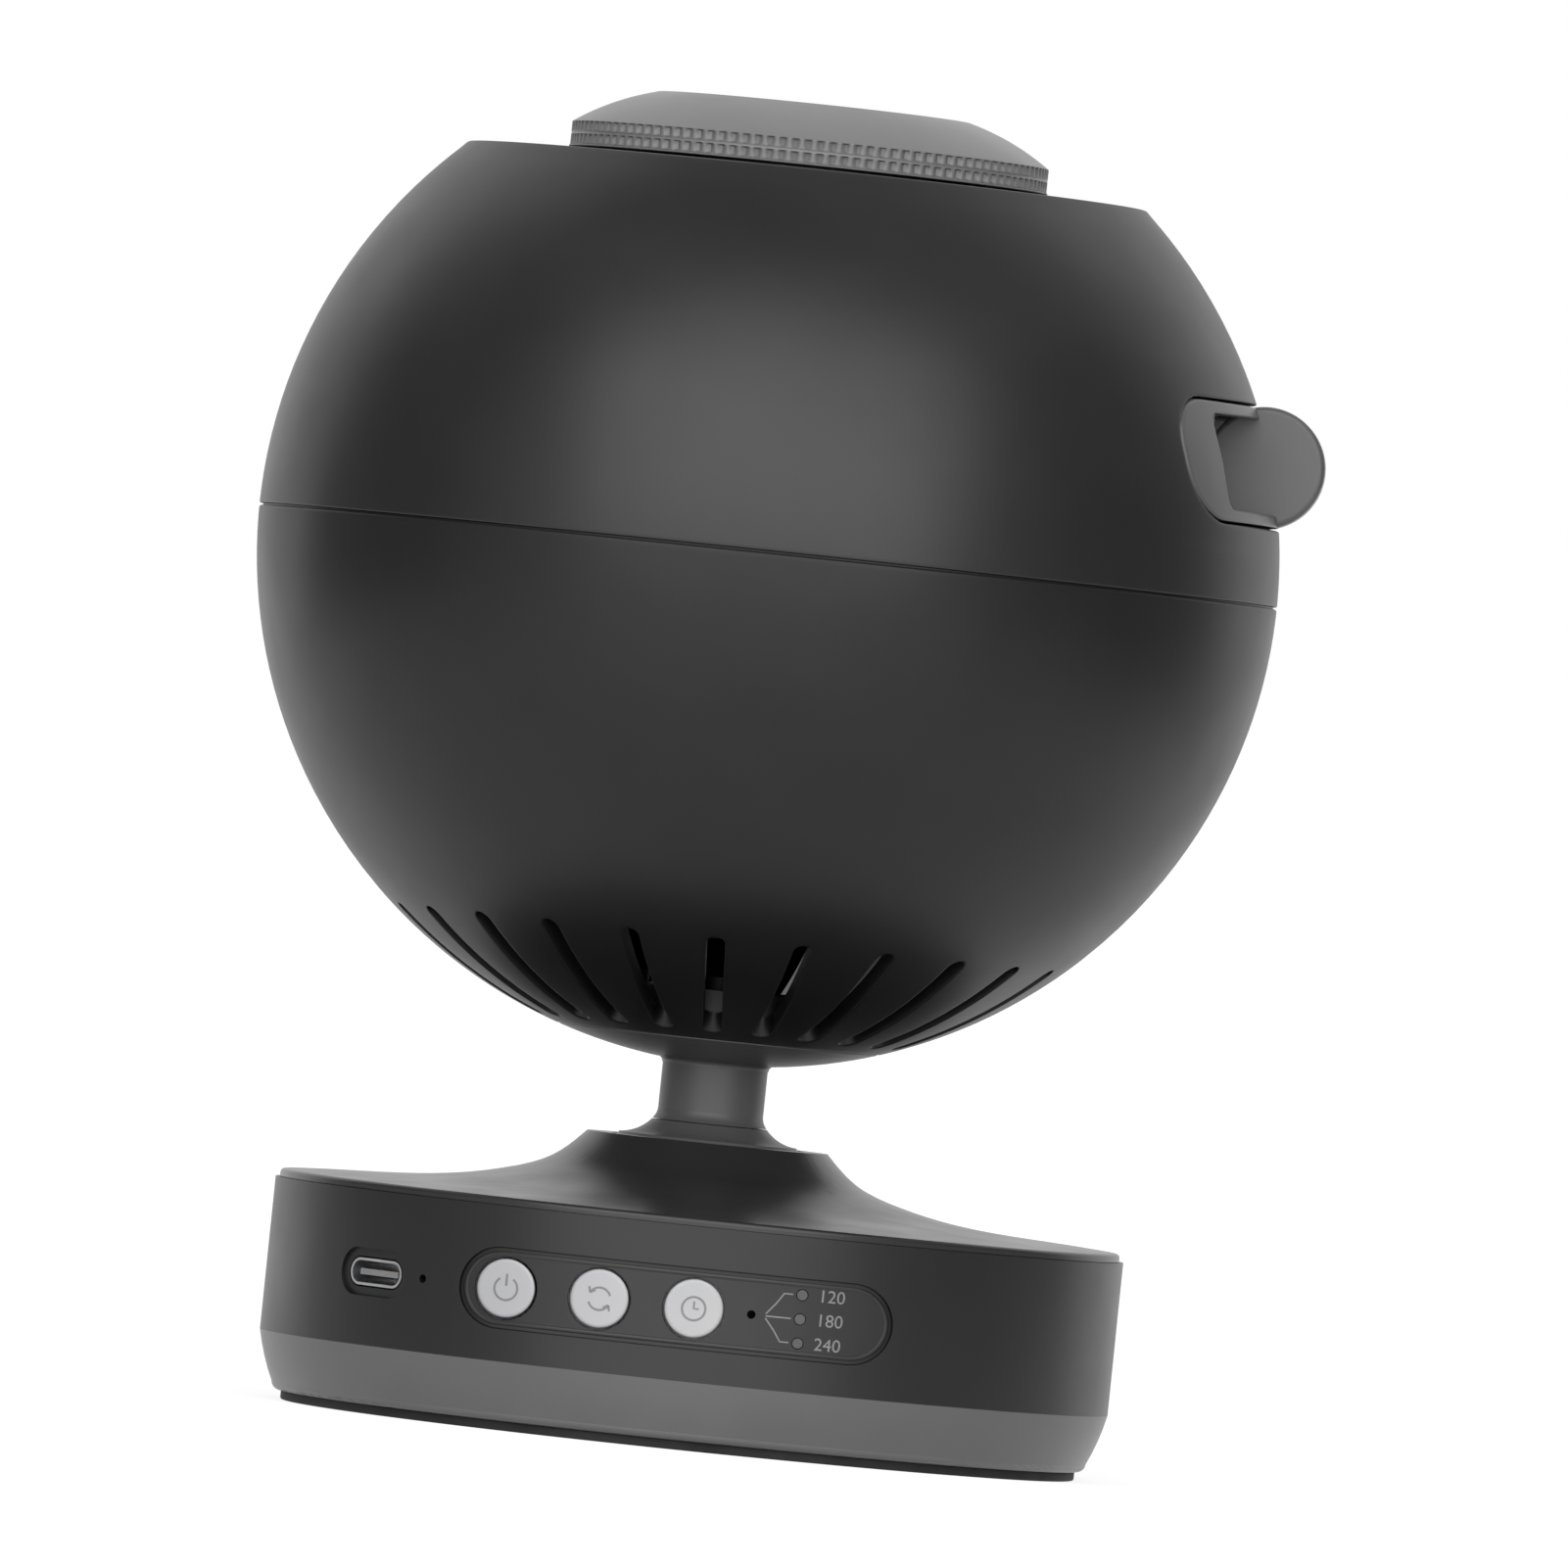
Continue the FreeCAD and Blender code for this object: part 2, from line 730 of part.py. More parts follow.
def base_top_cover():
    rim_z = cover_seam_z + thread_fit
    rim_radius = base_radius - rim_drop
    skirt = base_inner - slip
    under = [(r, z - cover_wall) for r, z in cove[1:5]]
    under[-1] = (boss_outer, under[-1][1])
    shell = turned([
        (rim_radius, rim_z),
        ("line", (rim_radius, cove[0][1] - rim_drop)),
        ("arc", (rim_radius - 0.29 * rim_drop, cove[0][1] - 0.29 * rim_drop), cove[0]),
        ("curve", cove[1:] + [(collar_radius, collar_top_z)]),
        ("line", (mouth_radius, collar_top_z)),
        ("line", (mouth_radius, lip_bottom_z)),
        ("line", (boss_bore, lip_bottom_z)),
        ("line", (boss_bore, retainer_top_z)),
        ("line", (boss_outer, retainer_top_z)),
        ("line", under[3]),
        ("line", under[2]),
        ("line", under[1]),
        ("line", under[0]),
        ("line", (skirt - tongue_wall, cove[0][1] - cover_wall)),
        ("line", (skirt - tongue_wall, cover_seam_z - tongue_height)),
        ("line", (skirt, cover_seam_z - tongue_height)),
        ("line", (skirt, rim_z)),
    ])
    for x, y in post_points:
        shell = shell.fuse(rod(boss_post_radius, post_foot_z + slip, cover_seam_z, x, y))
    for x, y in lug_points:
        shell = shell.fuse(rod(lug_radius, retainer_top_z, retainer_top_z + lug_length, x, y))
    shell = shell.cut(rod(boss_bore, retainer_top_z - 1, lip_bottom_z))
    for x, y in post_points:
        shell = shell.cut(rod(screw_pilot, 0, post_foot_z + 10, x, y))
    for x, y in lug_points:
        shell = shell.cut(rod(screw_pilot, 0, retainer_top_z + screw_grip + 0.5, x, y))
    return shell.removeSplitter()


def base_screws():
    screws = [screw(x, y, post_foot_z - screw_grip / 2, base_screw_length) for x, y in post_points]
    for x, y in lug_points:
        screws.append(screw(x, y, retainer_bottom_z, retainer_thickness + screw_grip))
    top = main_board_z + board_thickness
    for x, y in standoff_points:
        screws.append(screw(x, y, top, board_thickness + screw_grip, -1))
    return Part.makeCompound(screws)


# --- ball socket
def socket_ring():
    bore = ball_radius + ball_fit
    low = pivot_z + clear
    high = lip_bottom_z - thread_fit
    low_r = math.sqrt(bore**2 - clear**2)
    high_r = math.sqrt(bore**2 - (high - pivot_z) ** 2)
    mid = (low + high) / 2
    mid_r = math.sqrt(bore**2 - (mid - pivot_z) ** 2)
    return turned([
        (low_r, low),
        ("line", (ring_seat_radius, low)),
        ("line", (ring_seat_radius, high)),
        ("line", (high_r, high)),
        ("arc", (mid_r, mid), (low_r, low + 1e-4)),
    ])


def friction_cup():
    bore = ball_radius + ball_fit
    outer = bore + cup_wall
    top = pivot_z - clear
    top_r = math.sqrt(bore**2 - clear**2)
    mid_r = bore * math.sin(math.radians(55))
    mid_z = pivot_z - bore * math.cos(math.radians(55))
    return turned([
        (cup_hole_radius, cup_bottom_z),
        ("line", (outer, cup_bottom_z)),
        ("line", (outer, top)),
        ("line", (top_r, top)),
        ("arc", (mid_r, mid_z), (cup_hole_radius, cup_hole_z)),
    ])


def disc_spring():
    outer = boss_bore - clear
    inner = cup_hole_radius + spring_hole_step
    top = cup_bottom_z - spring_play
    low = retainer_top_z + spring_play
    return turned_lines([
        (inner, top),
        (inner, top - spring_thickness),
        (outer, low),
        (outer, low + spring_thickness),
    ])


def socket_retainer():
    plate = tube(cup_hole_radius, retainer_radius, retainer_bottom_z, retainer_top_z)
    for x, y in lug_points:
        plate = plate.cut(rod(screw_hole, retainer_bottom_z - 1, retainer_top_z + 1, x, y))
    return plate


def neck_ball():
    bore = spigot_radius + running
    pocket = nut_corner_radius + clear
    rim_z = pivot_z + math.sqrt(ball_radius**2 - flare_radius**2)
    top = neck_parting_z - slip
    cut_r = math.sqrt(ball_radius**2 - ball_cut_drop**2)
    flare_mid = (flare_top_radius + 1.15, top - 1.0)
    return turned([
        (bore, top),
        ("line", (flare_top_radius, top)),
        ("arc", flare_mid, (flare_radius, rim_z)),
        ("arc", (ball_radius, pivot_z), (cut_r, ball_cut_z)),
        ("line", (pocket, ball_cut_z)),
        ("line", (pocket, ball_cut_z + nut_pocket_depth)),
        ("line", (bore, ball_cut_z + nut_pocket_depth)),
    ])


def neck_tube():
    flange_z = head_z + shell_rim_h
    return turned([
        (lead_bore_radius, nut_top_z - nut_height - slip),
        ("line", (neck_thread_radius, nut_top_z - nut_height - slip)),
        ("line", (neck_thread_radius, nut_top_z)),
        ("line", (spigot_radius, nut_top_z)),
        ("line", (spigot_radius, neck_parting_z)),
        ("line", (flare_top_radius - 0.05, neck_parting_z)),
        ("arc", (neck_radius + 0.18, neck_parting_z + 0.55), (neck_radius, neck_parting_z + 1.3)),
        ("line", (neck_radius, flange_z)),
        ("line", (neck_flange_radius, flange_z)),
        ("line", (neck_flange_radius, flange_z + neck_flange_thickness)),
        ("line", (lead_bore_radius, flange_z + neck_flange_thickness)),
    ]).cut(Part.makeCompound([
        rod(screw_hole, flange_z - 1, flange_z + 9, x, y)
        for x, y in neck_screw_points
    ]))


def neck_nut():
    corners = [vec(x, y, 0) for x, y in ring_of(nut_corner_radius, 6)]
    face = Part.Face(Part.makePolygon(corners + [corners[0]]))
    nut = face.extrude(vec(0, 0, nut_height))
    nut.translate(vec(0, 0, nut_top_z - nut_height))
    bore = neck_thread_radius + thread_fit
    return nut.cut(rod(bore, nut_top_z - nut_height - 1, nut_top_z + 1))


# --- sphere, drawn about its middle
def bottom_cap():
    top = shell_rim_h - thread_fit
    bore = neck_radius + slip
    fillet_r = bore + cap_fillet
    fillet_h = on_sphere(head_radius, fillet_r, -1)[1]
    mid_r = (cap_radius + fillet_r) / 2
    cap = turned([
        (bore, top),
        ("line", (cap_radius, top)),
        ("line", on_sphere(head_radius, cap_radius, -1)),
        ("arc", on_sphere(head_radius, mid_r, -1), (fillet_r, fillet_h)),
        ("arc", (bore + 0.22 * cap_fillet, fillet_h - 0.25 * cap_fillet),
         (bore, fillet_h - 0.9 * cap_fillet)),
    ])
    for x, y in neck_screw_points:
        cap = cap.cut(rod(screw_pilot, top - 3.2, top + 1, x, y))
    return cap


def vent_cutter():
    span = vent_outer_radius - vent_inner_radius
    slot = slot_prism(span, vent_width, vent_width / 2 - 0.01, head_radius)
    slot.translate(vec((vent_outer_radius + vent_inner_radius) / 2, 0, -1.5 * head_radius))
    return slot


def deck_posts(r_out, r_in, low, high):
    posts = []
    for x, y in ring_of(post_circle, post_count, 45):
        post = rod(r_out, low, high, x, y)
        posts.append((post, rod(r_in, low - 1, high + 1, x, y)))
    return posts


def lower_shell():
    gap = seam_gap / 2
    half_wall = shell_wall / 2
    tongue = head_inner + half_wall - slip
    edge = math.sqrt(head_radius**2 - gap**2)
    hole_h = on_sphere(head_radius, cap_hole_radius, -1)
    inner_h = on_sphere(head_inner, neck_flange_radius + 0.1, -1)
    a = head_radius * math.sqrt(0.5)
    b = head_inner * math.sqrt(0.5)
    shell = turned([
        (edge, -gap),
        ("arc", (a, -a), hole_h),
        ("line", (cap_hole_radius, shell_rim_h)),
        ("line", (neck_flange_radius + 0.1, shell_rim_h)),
        ("line", inner_h),
        ("arc", (b, -b), (head_inner, 0)),
        ("line", (head_inner, seam_tongue_height)),
        ("line", (tongue, seam_tongue_height)),
        ("line", (tongue, -gap)),
    ])
    inside = Part.makeSphere(head_inner + shell_wall / 4)
    for post, bore in deck_posts(sleeve_post_radius, screw_head + clear, -head_radius, deck_bottom_h):
        shell = shell.fuse(post.cut(bore).common(inside))
    shell = shell.cut(Part.makeCompound(around(vent_cutter(), vent_count, 270)))
    return shell.removeSplitter()


def drawer_prism(grow, x_low, x_high):
    prism = slot_prism(drawer_width + 2 * grow, drawer_height + 2 * grow,
                       drawer_corner + grow, x_high - x_low)
    return facing_x(prism, x_low, drawer_h)


barrel_bosses = ring_of(barrel_screw_circle, 4, 45)


def upper_shell():
    gap = seam_gap / 2
    rebate = head_inner + shell_wall / 2
    rebate_h = seam_tongue_height + clear
    edge = math.sqrt(head_radius**2 - gap**2)
    crown_r = math.sqrt(head_radius**2 - crown_h**2)
    under_h = crown_h - shell_wall
    under_r = math.sqrt(head_inner**2 - under_h**2)
    a = head_radius * math.cos(math.radians(24))
    b = head_inner * math.cos(math.radians(24))
    shell = turned([
        (edge, gap),
        ("arc", on_sphere(head_radius, a), (crown_r, crown_h)),
        ("line", (crown_hole, crown_top_h)),
        ("line", (crown_hole, under_h)),
        ("line", (under_r, under_h)),
        ("arc", on_sphere(head_inner, b), (math.sqrt(head_inner**2 - rebate_h**2), rebate_h)),
        ("line", (rebate, rebate_h)),
        ("line", (rebate, gap)),
    ])
    inside = Part.makeSphere(head_inner + shell_wall / 4)
    for post, bore in deck_posts(post_radius, screw_pilot, deck_top_h, head_radius):
        shell = shell.fuse(post.common(inside))
        bore = bore.common(rod(reach, 0, deck_top_h + post_pilot_depth))
        shell = shell.cut(bore)
    for x, y in barrel_bosses:
        shell = shell.fuse(rod(post_radius, barrel_flange_h, under_h + 0.5, x, y))
        shell = shell.cut(rod(screw_pilot, 0, barrel_flange_h + screw_grip, x, y))
    shell = shell.cut(drawer_prism(clear, drawer_back_x - 1, head_radius + 1))
    return shell.removeSplitter()


# --- deck and lamp
lamp_screws_at = [circle_point(lamp_screw_circle, a) for a in lamp_screw_angles]
sink_screws_at = ring_of(sink_screw_circle, 3, 60)
rail_screw_y = tray_half_width + clear + rail_wall + rail_lug_reach
rail_screws_at = [(x, y) for x in (-rail_lug_x, rail_lug_x) for y in (-rail_screw_y, rail_screw_y)]
motor_screws_at = [(pinion_x, s * (motor_depth / 2 + motor_ear / 2 + 0.1)) for s in (-1, 1)]


def deck_plate():
    plate = rod(deck_radius, deck_bottom_h, deck_top_h)
    plate = plate.cut(rod(lamp_bore_radius + lamp_wall + slip, 0, reach))
    plate = plate.cut(rod(shaft_radius + shaft_hole_gap, 0, reach, pinion_x))
    wide = drawer_width / 2 + 3 * clear
    plate = plate.cut(block(drawer_back_x - clear, reach, -wide, wide, 0, reach))
    holes = [(p, screw_hole) for p in ring_of(post_circle, post_count, 45)]
    holes += [(p, screw_pilot) for p in lamp_screws_at + rail_screws_at + motor_screws_at]
    for (x, y), radius in holes:
        plate = plate.cut(rod(radius, 0, reach, x, y))
    return plate


def lamp_tube():
    bore = lamp_bore_radius
    outer = bore + lamp_wall
    flange_h = deck_bottom_h - lamp_flange_thickness
    body = turned_lines([
        (bore, lamp_bottom_h),
        (lamp_foot_radius, lamp_bottom_h),
        (lamp_foot_radius, lamp_bottom_h + lamp_foot_thickness),
        (outer, lamp_bottom_h + lamp_foot_thickness),
        (outer, flange_h),
        (lamp_flange_radius, flange_h),
        (lamp_flange_radius, deck_bottom_h),
        (outer, deck_bottom_h),
        (outer, deck_top_h),
        (bore, deck_top_h),
    ])
    for seat in condenser_seats:
        body = body.fuse(tube(bore - ledge_width, bore + 0.5, seat - 1.0, seat))
    motor_side = pinion_x + motor_width / 2 + clear
    motor_foot_h = deck_bottom_h - gearbox_height - motor_length - clear
    body = body.cut(block(-reach, motor_side, -reach, reach, motor_foot_h, deck_bottom_h))
    for x, y in lamp_screws_at:
        body = body.cut(rod(screw_hole, flange_h - 1, deck_bottom_h + 1, x, y))
    for x, y in sink_screws_at:
        body = body.cut(rod(screw_pilot, lamp_bottom_h - 1, lamp_bottom_h + 5, x, y))
    return body.removeSplitter()


def lens(radius, seat, edge, crown):
    """Plano-convex lens, flat face down, with a flat shoulder for its retaining ring."""
    dome = radius - ledge_width - slip
    bow = (dome**2 + crown**2) / (2 * crown)
    half = math.sqrt(bow**2 - (dome / 2) ** 2) - (bow - crown)
    return turned([
        (0, seat),
        ("line", (radius, seat)),
        ("line", (radius, seat + edge)),
        ("line", (dome, seat + edge)),
        ("arc", (dome / 2, seat + edge + half), (0, seat + edge + crown)),
    ])


def condenser(seat):
    return lens(lamp_bore_radius - slip, seat, condenser_edge, condenser_crown)


def heat_sink():
    top = lamp_bottom_h
    sink = rod(sink_radius, top - sink_base, top)
    pitch = 2 * sink_radius / fin_count
    for i in range(fin_count):
        y = (i - (fin_count - 1) / 2) * pitch
        half = math.sqrt((sink_radius - 0.2) ** 2 - (abs(y) + fin_thickness / 2) ** 2)
        fin = block(-half, half, y - fin_thickness / 2, y + fin_thickness / 2,
                    top - sink_depth, top - sink_base + 0.5)
        sink = sink.fuse(fin)
    for x, y in sink_screws_at:
        sink = sink.cut(rod(screw_head + 0.6, top - sink_depth - 1, top - sink_base, x, y))
        sink = sink.cut(rod(screw_hole, top - sink_depth - 1, top + 1, x, y))
    return sink.removeSplitter()


def led_board():
    return rod(led_board_radius, lamp_bottom_h, lamp_bottom_h + board_thickness)


def led_emitter():
    low = lamp_bottom_h + board_thickness
    half = led_side / 2
    body = block(-half, half, -half, half, low, low + 0.8)
    dome = Part.makeSphere(led_dome_radius, vec(0, 0, low + 0.8))
    dome = dome.common(block(-9, 9, -9, 9, low + 0.8, low + 9))
    return body.fuse(dome)


def gear_motor():
    half_x = motor_width / 2
    half_y = motor_depth / 2
    top = deck_bottom_h
    low = top - gearbox_height
    gearbox = block(pinion_x - half_x, pinion_x + half_x, -half_y, half_y, low, top)
    can = rod(half_x, low - motor_length, low, pinion_x)
    can = can.common(block(-reach, 0, -half_y, half_y, low - motor_length, low))
    ear = half_y + motor_ear
    ears = block(pinion_x - motor_ear_half, pinion_x + motor_ear_half, -ear, ear,
                 top - motor_ear_thickness, top)
    motor = gearbox.fuse([can, ears])
    motor = motor.cut(rod(shaft_radius + running, top - motor_shaft_depth - 0.5, top + 1, pinion_x))
    for x, y in motor_screws_at:
        motor = motor.cut(rod(screw_hole, top - 9, top + 1, x, y))
    return motor.removeSplitter()


def tray_rail(side):
    inner = tray_half_width + clear
    outer = inner + rail_wall
    lip_h = tray_bottom_h + tray_side_height + clear
    top = lip_h + rail_lip
    rail = block(rail_rear_x, rail_end_x, inner, outer, deck_top_h, top)
    rail = rail.fuse(block(rail_rear_x, rail_end_x, inner - tray_side, inner, lip_h, top))
    rail = rail.common(rod(head_inner - rail_end_gap, deck_top_h, top))
    for x in (-rail_lug_x, rail_lug_x):
        lug = block(x - rail_lug_half, x + rail_lug_half, outer - 0.5, rail_screw_y + rail_lug_reach,
                    deck_top_h, deck_top_h + rail_lug_height)
        rail = rail.fuse(lug)
        rail = rail.cut(rod(screw_hole, 0, reach, x, rail_screw_y))
    rail = rail.removeSplitter()
    if side < 0:
        rail = rail.mirror(vec(0, 0, 0), vec(0, 1, 0))
    return rail


def head_screws():
    screws = [screw(x, y, deck_bottom_h, deck_thickness + screw_grip + 2)
              for x, y in ring_of(post_circle, post_count, 45)]
    flange_h = deck_bottom_h - lamp_flange_thickness
    screws += [screw(x, y, flange_h, screw_grip) for x, y in lamp_screws_at]
    screws += [screw(x, y, deck_bottom_h - motor_ear_thickness, screw_grip) for x, y in motor_screws_at]
    sink_h = lamp_bottom_h - sink_base
    screws += [screw(x, y, sink_h, sink_base + lamp_foot_thickness - 0.2)
               for x, y in sink_screws_at]
    lug_h = deck_top_h + rail_lug_height
    screws += [screw(x, y, lug_h, rail_lug_height + deck_thickness - 0.3, -1)
               for x, y in rail_screws_at]
    flange_low = barrel_flange_h - barrel_flange_thickness
    screws += [screw(x, y, flange_low, barrel_flange_thickness + screw_grip - 0.3)
               for x, y in barrel_bosses]
    neck_top = shell_rim_h + neck_flange_thickness
    screws += [screw(x, y, neck_top, neck_flange_thickness + 3.0, -1)
               for x, y in neck_screw_points]
    return Part.makeCompound(screws)


# --- film drawer
def grip_disc(radius, thickness):
    return rod_y(radius, -thickness / 2, thickness / 2, grip_x, drawer_h)


def tenon(grow):
    half_y = tenon_thickness / 2 + grow
    half_z = tenon_height / 2 + grow
    return block(drawer_back_x, grip_x, -half_y, half_y, drawer_h - half_z, drawer_h + half_z)


def tray_screw_points():
    return [(y, drawer_h) for y in (-tray_screw_y, tray_screw_y)]


def tray_front():
    body = drawer_prism(0, drawer_back_x, head_radius + 1).common(Part.makeSphere(head_radius))
    pocket = slot_prism(pocket_width, pocket_height, pocket_corner, reach)
    body = body.cut(facing_x(pocket, pocket_floor_x, drawer_h))
    body = body.cut(grip_disc(grip_radius + slip, grip_thickness + 2 * slip))
    body = body.cut(tenon(slip))
    for y, z in tray_screw_points():
        body = body.cut(rod_x(screw_pilot, drawer_back_x - 1, drawer_back_x + tray_screw_bite + clear, y, z))
    return body


def grip():
    disc = grip_disc(grip_radius, grip_thickness)
    disc = disc.makeFillet(grip_round, [e for e in disc.Edges if len(e.Vertexes) == 1])
    return disc.fuse(tenon(0)).removeSplitter()


def tray_plate():
    low = tray_bottom_h
    side_top = low + tray_side_height
    half = tray_half_width
    plate = block(tray_rear_x, drawer_back_x, -half, half, low, tray_top_h)
    for s in (-1, 1):
        y_a, y_b = sorted((s * half, s * (half - tray_side)))
        plate = plate.fuse(block(tray_arm_rear_x, drawer_back_x, y_a, y_b, low, side_top))
    wall = block(drawer_back_x - tray_wall, drawer_back_x, -half, half, low, low + tray_wall_height)
    plate = plate.fuse(wall)
    plate = plate.fuse(rod(collar_outer, low, tray_top_h + collar_height))
    plate = plate.cut(rod(light_hole_radius, 0, reach))
    for y, z in tray_screw_points():
        plate = plate.cut(rod_x(screw_hole, drawer_back_x - tray_wall - 1, drawer_back_x + 1, y, z))
    return plate.removeSplitter()


def tray_screws():
    screws = []
    for y, z in tray_screw_points():
        seat = drawer_back_x - tray_wall
        shank = rod_x(screw_shank, seat, drawer_back_x + tray_screw_bite, y, z)
        head = rod_x(screw_head, seat - screw_head_height, seat, y, z)
        screws.append(shank.fuse(head).removeSplitter())
    return Part.makeCompound(screws)


# --- film drive
def gear(teeth, sizes, height, phase):
    """Spur gear from the tooth's half-thickness at each radius, root to tip."""
    points = []
    for i in range(teeth):
        middle = (i + phase) * 2 * math.pi / teeth
        for side, order in ((-1, sizes), (1, sizes[::-1])):
            for radius, half in order:
                a = middle + side * half / radius
                points.append(vec(radius * math.cos(a), radius * math.sin(a), 0))
    return Part.Face(Part.makePolygon(points + [points[0]])).extrude(vec(0, 0, height))


pitch_half = math.pi * gear_module / 4 - gear_backlash / 2


def disc_carrier():
    rp = gear_pitch_radius
    lean = math.tan(math.radians(20)) * gear_module
    root = (rp - 1.25 * gear_module, pitch_half + 1.25 * lean)
    tip = (rp + gear_module, pitch_half - lean)
    carrier = gear(carrier_teeth, [root, tip], carrier_height, 0)
    carrier.translate(vec(0, 0, carrier_bottom_h))
    ledge_h = film_seat_h - carrier_ledge
    carrier = carrier.cut(rod(collar_outer + running, 0, ledge_h))
    carrier = carrier.cut(rod(film_window_radius, 0, reach))
    return carrier.cut(rod(film_radius + slip, film_seat_h, reach))


def film_disc():
    return rod(film_radius, film_seat_h, film_seat_h + film_thickness)


def disc_clamp():
    low = film_seat_h + film_thickness
    return tube(film_radius - clamp_width, film_radius, low, low + clamp_height)


def drive_pinion():
    rp = pinion_pitch_radius
    root = rp - 1.25 * gear_module
    tip = rp + gear_module
    sizes = [(root, pitch_half - thread_fit), (rp, pitch_half), (tip, 0.42 * pitch_half)]
    pinion = gear(pinion_teeth, sizes, pinion_height, 0.5)
    pinion.translate(vec(pinion_x, 0, tray_top_h + clear))
    return pinion.cut(rod(shaft_radius + thread_fit, 0, reach, pinion_x))


def motor_shaft():
    return rod(shaft_radius, deck_bottom_h - motor_shaft_depth, tray_top_h + clear + pinion_height, pinion_x)


# --- focus ring and projection lens
def knurl_row(low):
    """Ring of small upright ribs, as one toothed disc."""
    points = []
    for i in range(2 * knurl_count):
        a = i * math.pi / knurl_count
        r = ring_band_radius - (knurl_depth if i % 2 else 0)
        points.append(vec(r * math.cos(a), r * math.sin(a), low))
    face = Part.Face(Part.makePolygon(points + [points[0]]))
    return face.extrude(vec(0, 0, knurl_row_height))


def focus_ring():
    root = ring_band_radius - knurl_depth
    band_top = knurl_low_h + 2 * knurl_row_height + knurl_groove
    outline = turned([
        (sleeve_bore, sleeve_bottom_h),
        ("line", (sleeve_outer, sleeve_bottom_h)),
        ("line", (sleeve_outer, ring_bottom_h)),
        ("line", (ring_foot_radius, ring_bottom_h)),
        ("line", (ring_band_radius, knurl_low_h)),
        ("line", (root, knurl_low_h)),
        ("line", (root, band_top)),
        ("line", (ring_band_radius - 0.1, band_top)),
        ("arc", (ring_shoulder_radius, ring_shoulder_h), (ring_top_radius, ring_top_h - slip)),
        ("line", (ring_top_radius - 0.3, ring_top_h)),
        ("line", (ring_opening_radius + 0.5, ring_top_h)),
        ("line", (ring_opening_radius, ring_top_h - 0.5)),
        ("line", (ring_opening_radius, ring_top_h - ring_lip)),
        ("line", (sleeve_bore, ring_top_h - ring_lip)),
    ])
    ring = outline.fuse([
        knurl_row(knurl_low_h + i * (knurl_row_height + knurl_groove)).cut(rod(root - 1, 0, reach))
        for i in range(2)
    ])
    ring = ring.cut(tube(sleeve_outer - clip_depth, sleeve_outer + 1,
                         clip_top_h - clip_height - thread_fit, clip_top_h + thread_fit))
    return ring.removeSplitter()


def focus_clip():
    clip = tube(sleeve_outer - clip_depth + thread_fit, sleeve_outer + clip_reach,
                clip_top_h - clip_height, clip_top_h)
    half = (sleeve_outer + clip_reach) * math.sin(math.radians(clip_gap_deg / 2))
    return clip.cut(block(0, reach, -half, half, 0, reach))


def key_bar(grow_y, low, high, length):
    """Two opposite keys on the lens cell, or the slots that guide them."""
    half = key_width / 2 + grow_y
    return block(-length, length, -half, half, low, high).cut(rod(cell_bore, 0, reach))


def lens_barrel():
    step_h = clip_top_h + clear
    flange_low = barrel_flange_h - barrel_flange_thickness
    body = turned_lines([
        (barrel_bore, crown_top_h - 0.2),
        (barrel_bore, step_h),
        (barrel_relief, step_h),
        (barrel_relief, barrel_bottom_h),
        (barrel_outer, barrel_bottom_h),
        (barrel_outer, flange_low),
        (barrel_flange_radius, flange_low),
        (barrel_flange_radius, barrel_flange_h),
        (barrel_outer, barrel_flange_h),
        (barrel_outer, crown_top_h - 0.2),
    ])
    top = key_low_h + key_height + lens_travel + clear
    body = body.cut(key_bar(running, 0, top, reach))
    for x, y in barrel_bosses:
        body = body.cut(rod(screw_hole, flange_low - 1, barrel_flange_h + 1, x, y))
    return body


def lens_cell():
    throat_r = rear_lens_radius + slip
    cone_low = cell_throat_h - cell_cone
    seat = front_lens_seat_h
    body = turned_lines([
        (throat_r - ledge_width, cell_bottom_h),
        (throat_r + cell_wall, cell_bottom_h),
        (throat_r + cell_wall, cone_low - cell_cone),
        (cell_radius, cone_low - cell_cone / 2),
        (cell_radius, cell_top_h),
        (cell_bore, cell_top_h),
        (cell_bore, seat),
        (cell_bore - ledge_width, seat),
        (cell_bore - ledge_width, cell_throat_h),
        (throat_r, cone_low),
        (throat_r, rear_lens_seat_h),
        (throat_r - ledge_width, rear_lens_seat_h),
    ])
    keys = key_bar(0, key_low_h, key_low_h + key_height, barrel_outer - clear)
    keys = keys.cut(rod(throat_r, 0, reach))
    return body.fuse(keys).removeSplitter()


def front_lens():
    return lens(cell_bore - slip, front_lens_seat_h, front_lens_edge, front_lens_crown)


def rear_lens():
    return lens(rear_lens_radius, rear_lens_seat_h, rear_lens_edge, rear_lens_crown)


def lens_retainer():
    low = front_lens_seat_h + front_lens_edge + thread_fit
    return tube(cell_bore - ledge_width, cell_bore - thread_fit, low, low + retainer_ring_height)


def rear_retainer():
    low = rear_lens_seat_h + rear_lens_edge + thread_fit
    return tube(rear_lens_radius - ledge_width, rear_lens_radius, low,
                low + retainer_ring_height)


